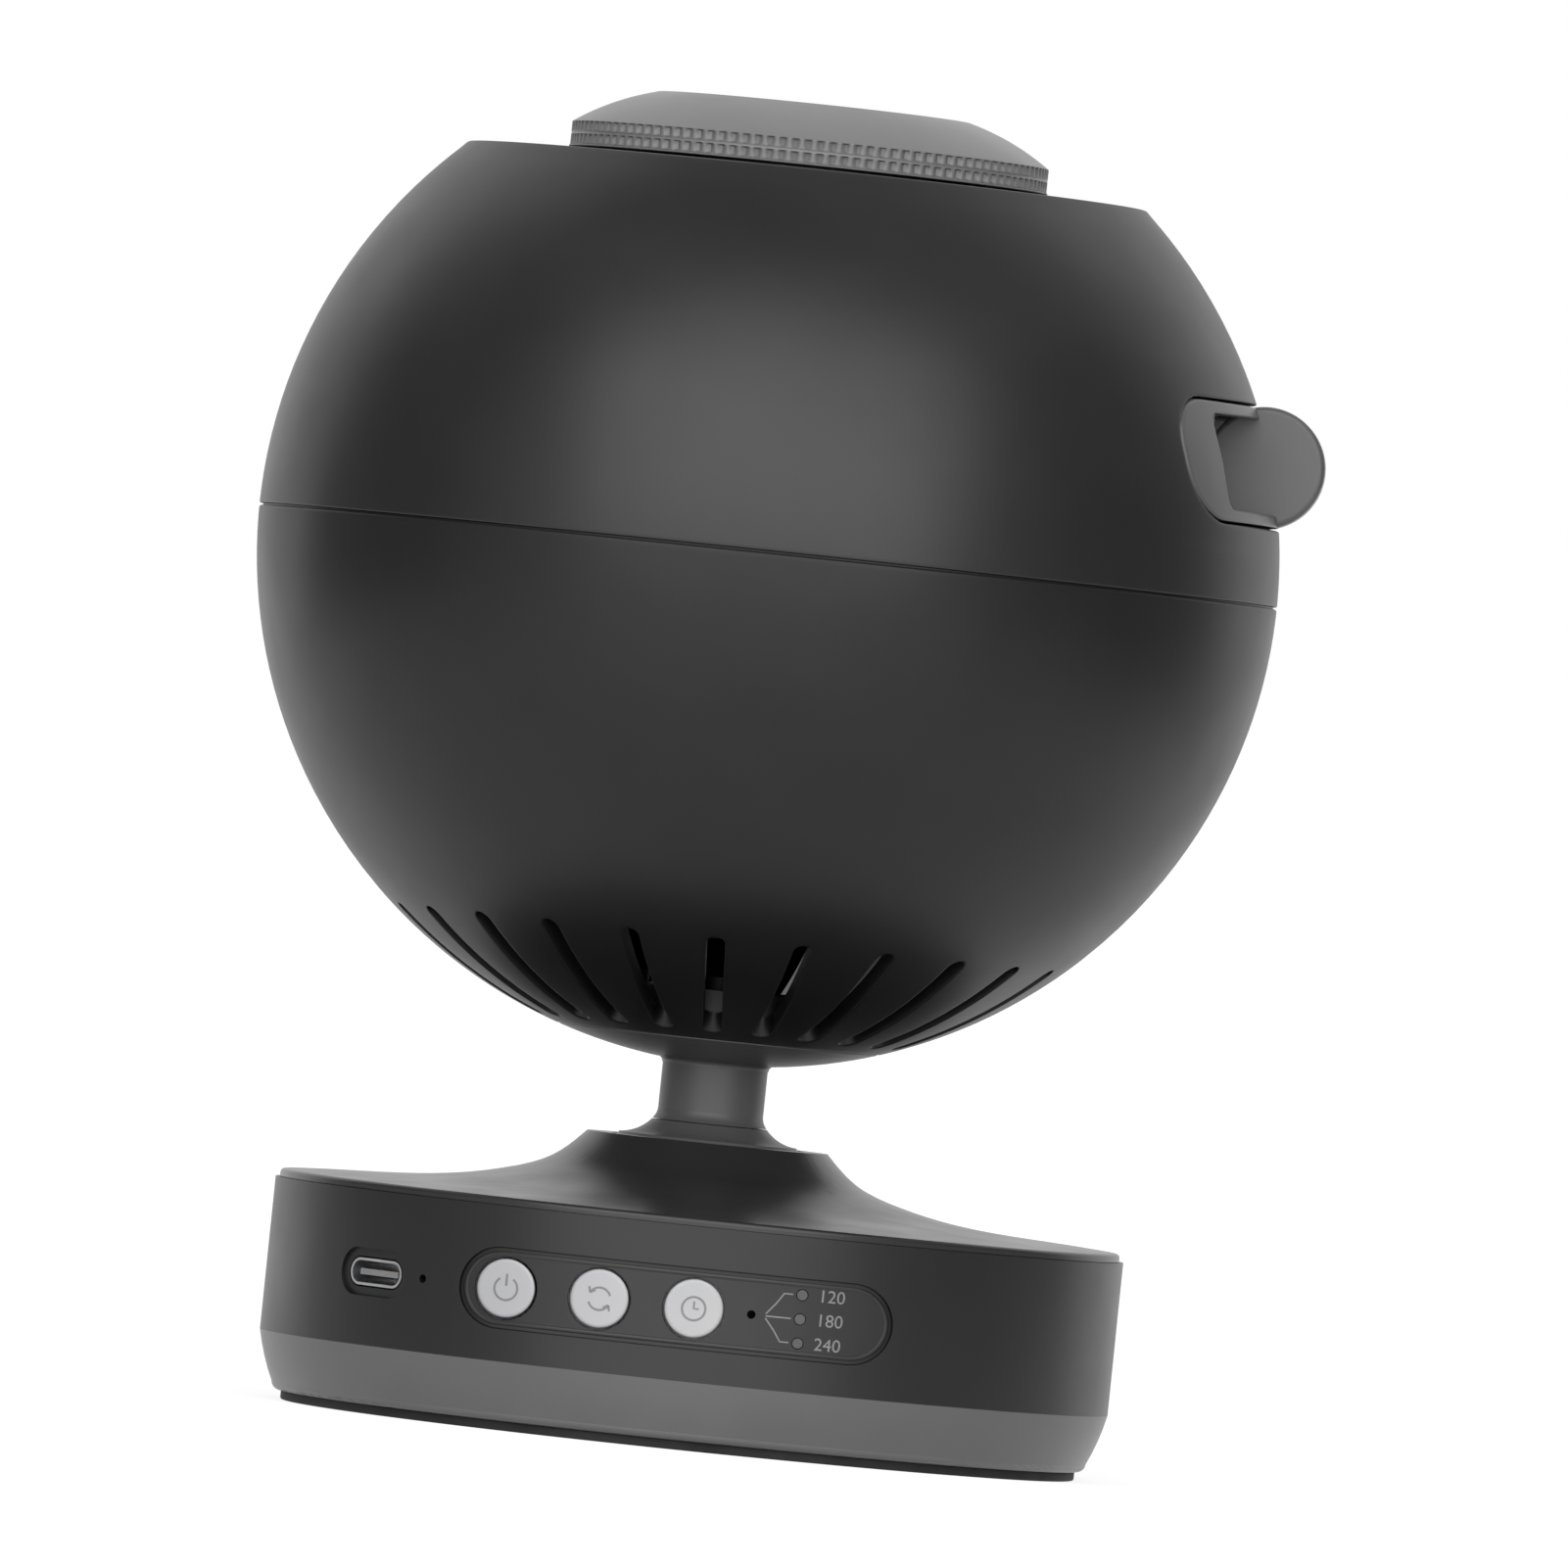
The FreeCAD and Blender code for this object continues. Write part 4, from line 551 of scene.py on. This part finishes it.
def upper_shell():
    """Upper half-shell with its bevelled crown, the hole in it and the drawer's opening."""
    crown_start, crown_radius, crown_edge, crown_top = 44.0, 40.0, 44.8, 45.15
    crown_hole, crown_under, crown_inner = 22.8, 42.6, 39.06
    groove_radius, groove_top = 58.9, 2.3
    outer_below = [0.6, 1.2, 2.4, 3.6, 4.9]
    outer_above = [29, 31, 33, 35, 37, 38.8, 40.4, 41.8, 43.0]
    inner_above = [42.55, 41, 39, 37, 35, 32, 29.5]
    inner_below = [4.9, 3.6, 2.31]
    heights = opening_heights()
    outer = sphere_rows(head_radius, outer_below + heights + outer_above)
    crown = rounded([(on_sphere(head_radius, crown_start), crown_start, 0),
                     (crown_radius, crown_edge, 0.5), (crown_hole, crown_top, 0.25),
                     (crown_hole, crown_under, 0), (crown_inner, crown_under, 0)])
    inner = sphere_rows(shell_inner, inner_above + heights[::-1] + inner_below)
    seam = rounded([(groove_radius, groove_top, 0), (groove_radius, seam_half, 0),
                    (seam_radius, seam_half, 0.15), outer[0] + (0,)])[:-1]
    starts = (len(outer_below), len(outer) + len(crown) + len(inner_above))
    holes = window_holes(starts, OPENING_ROWS, range(-OPENING_HALF, OPENING_HALF))
    shell = turned(outer + crown + inner + seam, COLUMNS, holes)
    return piece("upper_shell_fine", [shell, drawer_opening()], "head",
                 (shell_black, "shell_black"), ["upper_shell"], z=head_z)


def vent(sector):
    """Skin of one slot of the lower shell, cut straight along Z, with rounded edges outside.
    Its ends keep a trace of straight edge between their two quarter rounds."""
    length, middle = vent_outer - vent_inner, (vent_outer + vent_inner) / 2
    end_flat = 0.001

    def on_grid(reach):
        def point(u, v):
            r = reach[0] + (reach[1] - reach[0]) * u / VENT_ROWS
            a = 2 * math.pi * v / COLUMNS
            return (r * math.cos(a), r * math.sin(a))
        return window(point, 0, VENT_ROWS, -BEND, BEND)

    def rim(grow):
        width = vent_width + 2 * grow
        loop = slot_loop((length + 2 * grow, width, width / 2 - end_flat), VENT_CUTS)
        return [(u + middle, v) for u, v in loop]

    loops = []
    for share in (0, 0.45, 0.8, 1):
        skirt = between(on_grid(outer_reach), rim(2 * vent_edge), share)
        loops.append(on_underside(skirt, head_radius))
    for offset, depth in fillet_steps(vent_edge):
        loops.append(on_underside(rim(offset), head_radius, depth))
    for share in (0, 0.5, 1):
        skirt = between(rim(0), on_grid(inner_reach), share)
        loops.append(on_underside(skirt, shell_inner))
    turn = math.radians(270 + 360 / SECTORS * sector)
    c, s = math.cos(turn), math.sin(turn)
    return skin([[(u * c - v * s, u * s + v * c, z) for u, v, z in loop] for loop in loops])


def vent_rows(radius, reach):
    """Outline points of the sphere across the vents, from the outer end to the inner one."""
    step = (reach[0] - reach[1]) / VENT_ROWS
    radii = [reach[1] + step * k for k in range(VENT_ROWS + 1)]
    return [(r, -on_sphere(radius, r)) for r in radii]


def lower_shell():
    """Lower half-shell with its ring of vents, the cap's hole and the tongue at the seam."""
    lip_start_h, side_start_h, side_step, side_rows = -0.8, -1.2, 2.0, 21
    foot_radius, cap_hole, flange_hole, rim_h = 19.6, 18.8, 21.1, -53.75
    tongue_radius, tongue_h = 58.8, 2.0
    inner_start_h, inner_rows = -39.0, 16
    seam = rounded([(lip_radius, -seam_half, 0), (seam_radius, -seam_half, 0.32),
                    (on_sphere(head_radius, lip_start_h), lip_start_h, 0)])
    outer = sphere_rows(head_radius, [side_start_h - side_step * k for k in range(side_rows)])
    slots = vent_rows(head_radius, outer_reach)
    foot = rounded([(foot_radius, -on_sphere(head_radius, foot_radius), 0),
                    (cap_hole, -on_sphere(head_radius, cap_hole), 0.2),
                    (cap_hole, rim_h, 0), (flange_hole, rim_h, 0)])
    inner_slots = vent_rows(shell_inner, inner_reach)[::-1]
    inner = sphere_rows(shell_inner, [inner_start_h * (1 - k / inner_rows)
                                      for k in range(inner_rows + 1)])
    tongue = [(shell_inner, tongue_h), (tongue_radius, tongue_h),
              (tongue_radius, seam_half / 2), (lip_radius, seam_half / 2)]
    outer_start = len(seam) + len(outer)
    starts = (outer_start, outer_start + len(slots) + len(foot))
    front = COLUMNS * 3 // 4
    columns = [front + sector * COLUMNS // SECTORS + i for sector in range(SECTORS)
               for i in range(-BEND, BEND)]
    holes = window_holes(starts, VENT_ROWS, columns)
    shell = turned(seam + outer + slots + foot + inner_slots + inner + tongue, COLUMNS, holes)
    vents = [vent(sector) for sector in range(SECTORS)]
    return piece("lower_shell_fine", [shell] + vents, "head", (lower_black, "shell_black"),
                 ["lower_shell"], z=head_z)


# --- film drawer
def upright(loop, x):
    """Loop of (y, z) points laid on the upright plane at x."""
    return [(x, y, z) for y, z in loop]


def tray_front():
    """Drawer front, flush with the sphere, with its finger pocket."""
    margin, spine_length = 1.4 * edge, 40.0
    spine = drawer_loop((spine_length, 0.0, 0.0))
    loops = [upright(spine, drawer_back_x), upright(drawer_loop(front_size), drawer_back_x)]
    for a in (0, 0.4, 0.8, 1.2, math.pi / 2):
        rim = drawer_loop(front_size, edge * math.cos(a) - edge)
        loops.append(on_side(rim, head_radius, edge - edge * math.sin(a)))
    outside, inside = drawer_loop(front_size, -margin), drawer_loop(pocket_size, margin)
    for share in (0, 0.25, 0.5, 0.75, 1):
        loops.append(on_side(between(outside, inside, share), head_radius))
    for offset, depth in fillet_steps(edge):
        loops.append(on_side(drawer_loop(pocket_size, offset), head_radius, depth))
    for offset, rise in ((0, 0.4), (-0.12, 0.12), (-0.4, 0)):
        loops.append(upright(drawer_loop(pocket_size, offset), pocket_floor_x + rise))
    loops.append(upright(spine, pocket_floor_x))
    return piece("tray_front_fine", [skin(loops)], "drawer", (mid_grey, "mid_grey"),
                 ["tray_front"], z=head_z)


def grip_root():
    """Web that joins the grip's disc to the floor and walls of its pocket."""
    web_size = (7.2, pocket_size[1], 0.6)
    low_x, high_x, round_off = pocket_floor_x - 0.2, 52.6, 0.5
    steps = [(-round_off, low_x), (0, low_x)]
    for a in (0, 0.5, 1.0, math.pi / 2):
        steps.append((round_off * (math.cos(a) - 1), high_x - round_off * (1 - math.sin(a))))
    loops = [upright(drawer_loop(web_size, grow, (2, 2, 2)), x) for grow, x in steps]
    return piece("grip_root", [capped(loops)], "drawer", (mid_grey, "mid_grey"), z=head_z)


# --- focus ring
def rib_wave(radius):
    """Gives the radius at an angle, with the valleys between the ribs cut into it."""
    return lambda a: radius - rib_depth * (0.5 - 0.5 * math.cos(RIBS * a)) ** 1.6


def focus_ring():
    """Ring with a domed top and two rows of fine ribs, with a smooth band between them.
    The middle three of each row's points are ribbed, so the ribs fade out at its ends."""
    band_radius, band_h, under_h = 28.1, 45.75, 45.45
    row, smooth, dip, lead, fade = 1.15, 0.35, 0.03, 0.05, 0.14
    sleeve_inner, sleeve_outer, hole, lip_h = 17.5, 19.0, 16.2, 51.9
    shoulder, crest, flat_radius = (24.7, 50.5), (18.8, 52.8), 18.5
    outline = rounded([(sleeve_inner, ring_sleeve_h, 0), (sleeve_outer, ring_sleeve_h, 0),
                       (sleeve_outer, under_h, 0), (ring_foot_radius, under_h, 0.12),
                       (band_radius, band_h - lead, 0.1)], 3)
    ribbed = set()
    for z in (band_h, band_h + row + smooth):
        ribbed |= {len(outline) + i for i in (2, 3, 4)}
        outline += [(band_radius - dip, z - lead), (band_radius, z), (band_radius, z + fade),
                    (band_radius, z + row / 2), (band_radius, z + row - fade),
                    (band_radius, z + row), (band_radius - dip, z + row + lead)]
    dome_start = (band_radius - 0.1, band_h + 2 * row + smooth + 0.1)
    dome = arc(dome_start, shoulder, crest, 20)
    top = rounded([dome[-1] + (0,), (flat_radius, ring_top_h, 0.15), (hole, ring_top_h, 0.35),
                   (hole, lip_h, 0.1), (sleeve_inner, lip_h, 0),
                   (sleeve_inner, ring_sleeve_h, 0)], 3)[1:-1]
    rings = []
    for k, (r, z) in enumerate(outline + dome + top):
        rings.append(ring(r, z, 8 * RIBS, rib_wave(r) if k in ribbed else None))
    return piece("focus_ring_fine", [skin(rings + rings[:1])], "focus", (ring_grey, "ring_grey"),
                 ["focus_ring"], crisp=50, z=head_z)


# --- base
printing = (print_grey, "mid_grey")
icon_look = (icon_grey, "mid_grey")


def on_wall(x, radius):
    """Y at x on the front of an upright cylinder about Z."""
    return -math.sqrt(radius * radius - x * x)


def button(name, x):
    """Push button: a rounded face on the panel's curve, a flange behind the wall, a stem."""
    fillet, fillet_cuts, chamfer, stem_chamfer = 0.35, 4, 0.1, 0.2
    flange, flange_gap, flange_thickness, stem = 4.3, 0.2, 1.0, 1.5
    flange_y = on_wall(abs(x) + flange, base_inner) + flange_gap
    flange_end = flange_y + flange_thickness
    stem_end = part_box(name)[1].y / MM

    def disc(r):
        return [(x + r * math.cos(a), panel_z + r * math.sin(a)) for a in turns(96)]

    face = [(r, 0.0) for r in (0.0, 0.8, 1.7, 2.5, 2.95)]
    for k in range(fillet_cuts + 1):
        a = math.pi / 2 * k / fillet_cuts
        face.append((button_radius - fillet + fillet * math.sin(a), fillet - fillet * math.cos(a)))
    back = [(button_radius, flange_y), (flange - chamfer, flange_y), (flange, flange_y + chamfer),
            (flange, flange_end), (stem, flange_end), (stem, stem_end - stem_chamfer),
            (stem - stem_chamfer, stem_end), (0.0, stem_end)]
    loops = [[(u, on_wall(u, button_face) + depth, v) for u, v in disc(r)] for r, depth in face]
    loops += [[(u, y, v) for u, v in disc(r)] for r, y in back]
    return piece(name + "_fine", [skin(loops)], name, (button_white, "button_white"), [name])


def ink(width):
    """Section of a printed line: (across, out of the wall) points."""
    half, high, sunk = width / 2, 0.02, -0.03
    return [(half, high), (-half, high), (-half, sunk), (half, sunk)]


def traced(name, strokes, body, look, radius, section, closed=False):
    """Section drawn along lines on the base's curved wall; each stroke is (x, z) points."""
    patches = []
    for stroke in strokes:
        loops = []
        count = len(stroke)
        for k, (x, z) in enumerate(stroke):
            ax, az = stroke[k - 1] if closed else stroke[max(k - 1, 0)]
            bx, bz = stroke[(k + 1) % count] if closed else stroke[min(k + 1, count - 1)]
            length = math.hypot(bx - ax, bz - az)
            nx, nz = -(bz - az) / length, (bx - ax) / length
            loops.append([(x + nx * s, on_wall(x + nx * s, radius) - out, z + nz * s)
                          for s, out in section])
        patches.append(skin(loops + loops[:1]) if closed else capped(loops))
    return piece(name, patches, body, look, crisp=30)


def turning_arrows(x, z):
    """Strokes of two curved arrows that chase each other round a point."""
    radius, sweep, head = 1.3, 130, 0.7
    strokes = []
    for start in (20, 200):
        bow = circle(x, z, radius, start, start + sweep, 20)
        tip = bow[-1]
        strokes.append(bow)
        for lean in (-0.55, 0.75):
            a = math.radians(start + sweep) - math.pi / 2 + lean
            strokes.append([tip, (tip[0] + head * math.cos(a), tip[1] + head * math.sin(a))])
    return strokes


def icons():
    """Generic signs: power on the first button, turning on the second, a timer on the third."""
    radius, line_width, z = 1.35, 0.26, panel_z
    power, spin, timer = button_x
    bar = [(power, z + rise) for rise in (0.3, 1.0, 1.7)]
    hands = [(timer, z + 0.85), (timer, z), (timer + 0.6, z)]
    strokes = {
        "power": [circle(power, z, radius, 125, 415), bar],
        "spin": turning_arrows(spin, z),
        "timer": [circle(timer, z, radius), hands],
    }
    for sign, lines in strokes.items():
        traced("icon_" + sign, lines, "button_" + sign, icon_look, button_face, ink(line_width))


def panel_marks():
    """Three fine lines that fan out to the timer's lamps, and the minutes beside them."""
    line_width, label_x, label_height = 0.16, 16.3, 1.5
    bends = ((10.5, 0.25), (11.6, 1.6), (12.4, timer_pitch), (13.4, timer_pitch))
    fan = [[(x, panel_z + rise * k) for x, rise in bends] for k in (-1, 0, 1)]
    traced("timer_lines", fan, "base", printing, panel_face, ink(line_width))
    for k, minutes in zip((-1, 0, 1), ("240", "180", "120")):
        label("timer_label_" + minutes, minutes, label_x, panel_z + timer_pitch * k, label_height)


def label(name, words, x, z, height):
    """Plain numbers printed on the panel, height mm high."""
    size_for_height = 1.38
    font = bpy.data.curves.new(name, "FONT")
    font.body = words
    font.size = height * size_for_height
    font.align_y = "CENTER"
    font.extrude = 0.025
    font.resolution_u = 6
    holder = bpy.data.objects.new(name + "_text", font)
    bpy.context.collection.objects.link(holder)
    bpy.context.view_layer.update()
    shape = bpy.data.meshes.new_from_object(holder)
    bpy.data.objects.remove(holder)
    points = [(x + v.co.x, on_wall(x + v.co.x, panel_face) - v.co.z, z + v.co.y)
              for v in shape.vertices]
    faces = [tuple(f.vertices) for f in shape.polygons]
    return piece(name, [(points, faces)], "base", printing, crisp=30)


def panel_rim():
    """Fine raised bead just inside the panel's edge, a little lighter than the panel: its relief
    catches light, and its grey adds a painted highlight on the ridge.
    """
    middle_x, width, height, end_flat = -0.1, 48.9, 8.0, 0.01
    loop = slot_loop((width, height, height / 2 - end_flat), (40, 0, 10))
    line = [(x + middle_x, z + panel_z) for x, z in loop]
    half_bead = [(0.3, -0.03), (0.22, 0.06), (0.08, 0.11)]
    bead = half_bead + [(-across, out) for across, out in half_bead[::-1]]
    traced("panel_rim", [line], "base", (rim_painted_highlight, "shell_black"), panel_face, bead, closed=True)


def usb_contacts():
    """Gold strips on both faces of the charging socket's tongue."""
    root, tip, slope, thickness = 44.0, 48.7, 0.2, 0.05
    tongue_half, pitch, half_width = 0.34, 0.5, 0.12
    outline = ((root, 0.0), (root, thickness), (tip - slope, thickness), (tip, 0.0))
    turn = math.radians(-46.0)
    c, s = math.cos(turn), math.sin(turn)

    def strip_side(x, face):
        return [(x * c + r * s, x * s - r * c, panel_z + face * (tongue_half + rise))
                for r, rise in outline]

    patches = []
    for face in (-1, 1):
        for k in range(-5, 6):
            sides = (k * pitch - half_width, k * pitch + half_width)
            patches.append(capped([strip_side(x, face) for x in sides]))
    return piece("usb_contacts", patches, "base", (gold, "steel"), crisp=30)


def rubber_foot():
    """Foot with rounded edges and a shallow ring groove under it."""
    foot_high = corners("rubber_foot")[1]
    radius, thickness = foot_high[X], foot_high[Z]
    groove_inner, groove_outer, groove_depth, soft = 30.0, 32.0, 0.3, 0.1
    outline = rounded([(0, 0, 0), (groove_inner, 0, soft),
                       (groove_inner + groove_depth, groove_depth, soft),
                       (groove_outer - groove_depth, groove_depth, soft),
                       (groove_outer, 0, soft), (radius, 0, 0.25),
                       (radius, thickness, soft), (0, thickness, 0)], 3)
    return piece("rubber_foot_fine", [turned(outline, 240)], "base",
                 (foot_rubber, "foot_rubber"), ["rubber_foot"])


upper_shell()
lower_shell()
tray_front()
grip_root()
focus_ring()
for name, x in zip(button_names, button_x):
    button(name, x)
icons()
panel_marks()
panel_rim()
usb_contacts()
rubber_foot()


# --- studio, in metres
scene = bpy.context.scene
scene.view_settings.view_transform = "Standard"


def seen_directly(tree):
    """1 for what the camera, a mirror or clear glass sees, 0 for light on dull surfaces."""
    path = add(tree, "ShaderNodeLightPath")
    total = path.outputs["Is Camera Ray"]
    for kind in ("Is Glossy Ray", "Is Transmission Ray"):
        total = add(tree, "ShaderNodeMath", {0: total, 1: path.outputs[kind]},
                    operation="MAXIMUM").outputs[0]
    return total


def white_world():
    """White surroundings that look a little brighter than they light dull surfaces."""
    world = bpy.data.worlds.new("studio")
    world.use_nodes = True
    tree = world.node_tree
    tree.nodes.clear()
    level = add(tree, "ShaderNodeMapRange", {"Value": seen_directly(tree), "To Min": 0.8,
                                             "To Max": 1.0})
    light = add(tree, "ShaderNodeBackground", {"Color": linear("ffffff"),
                                                "Strength": level.outputs["Result"]})
    out = add(tree, "ShaderNodeOutputWorld")
    tree.links.new(light.outputs[0], out.inputs["Surface"])
    scene.world = world


def sheet(name, outline, finish):
    """Flat four-cornered piece of the studio, which is no part of the object."""
    mesh = bpy.data.meshes.new(name)
    mesh.from_pydata(outline, [], [(0, 1, 2, 3)])
    mesh.materials.append(finish)
    thing = bpy.data.objects.new(name, mesh)
    bpy.context.collection.objects.link(thing)
    return thing


def pale_floor():
    """Matt pale floor that shades softly under the object, and is clear from below."""
    material = bpy.data.materials.new("floor")
    material.use_nodes = True
    tree = material.node_tree
    tree.nodes.clear()
    dull = add(tree, "ShaderNodeBsdfDiffuse", {"Color": linear("949494")})
    glow_level = add(tree, "ShaderNodeMath", {0: seen_directly(tree), 1: 0.84},
                     operation="MULTIPLY")
    glow = add(tree, "ShaderNodeEmission", {"Strength": glow_level.outputs[0]})
    both = add(tree, "ShaderNodeAddShader", {0: dull.outputs[0], 1: glow.outputs[0]})
    clear = add(tree, "ShaderNodeBsdfTransparent")
    below = add(tree, "ShaderNodeNewGeometry").outputs["Backfacing"]
    mix = add(tree, "ShaderNodeMixShader", {0: below, 1: both.outputs[0], 2: clear.outputs[0]})
    out = add(tree, "ShaderNodeOutputMaterial")
    tree.links.new(mix.outputs[0], out.inputs["Surface"])
    half = 30.0
    sheet("floor", [(-half, -half, 0), (half, -half, 0), (half, half, 0), (-half, half, 0)],
          material)


def flag(name, outline, colour):
    """Grey card beside or above the object, which darkens what it mirrors there."""
    material = bpy.data.materials.new(name)
    material.use_nodes = True
    material.node_tree.nodes["Principled BSDF"].inputs["Base Color"].default_value = linear(colour)
    card = sheet(name, outline, material)
    card.visible_camera = False


def flags():
    """Two leaning cards at the sides and a level one over the object."""
    front, back, top = -0.5, 0.25, 0.9
    for name, side in (("flag_left", -1), ("flag_right", 1)):
        foot, head = 0.42 * side, 0.62 * side
        flag(name, [(foot, front, 0.0), (foot, back, 0.0), (head, back, top), (head, front, top)],
             "828282")
    half, rear, height = 0.5, 0.15, 0.8
    flag("flag_above", [(-half, front, height), (half, front, height), (half, rear, height),
                        (-half, rear, height)], "8c8c8c")


def softbox():
    """Large soft lamp in front of the object and above it."""
    distance, rise = 1.15, math.radians(24)
    lamp = bpy.data.lights.new("softbox", "AREA")
    lamp.shape = "RECTANGLE"
    lamp.size = 1.9
    lamp.size_y = 1.3
    lamp.energy = 12.9
    thing = bpy.data.objects.new("softbox", lamp)
    bpy.context.collection.objects.link(thing)
    aim = Vector((0, 0, head_z * MM))
    thing.location = aim + Vector((0, -math.cos(rise), math.sin(rise))) * distance
    thing.rotation_euler = (aim - thing.location).to_track_quat("-Z", "Y").to_euler()
    thing.visible_camera = False


def camera():
    """Long lens at the height of the object's middle, rolled as the object leans in view."""
    distance, height, shift = 3.0, 77.8 * MM, 4.6 * MM
    turn, roll = math.radians(2), math.radians(5.91)
    lens = bpy.data.cameras.new("camera")
    lens.sensor_width = 36.0
    lens.lens = 587.0
    lens.clip_end = 100.0
    thing = bpy.data.objects.new("camera", lens)
    bpy.context.collection.objects.link(thing)
    side = Vector((math.cos(turn), math.sin(turn), 0))
    up = Vector((0, 0, 1))
    back = side.cross(up)
    right = side * math.cos(roll) + up * math.sin(roll)
    above = up * math.cos(roll) - side * math.sin(roll)
    place = side * shift + up * height + back * distance
    columns = [right, above, back, place]
    thing.matrix_world = Matrix([[c[row] for c in columns] for row in range(3)] + [[0, 0, 0, 1]])
    scene.camera = thing


white_world()
pale_floor()
flags()
softbox()
camera()
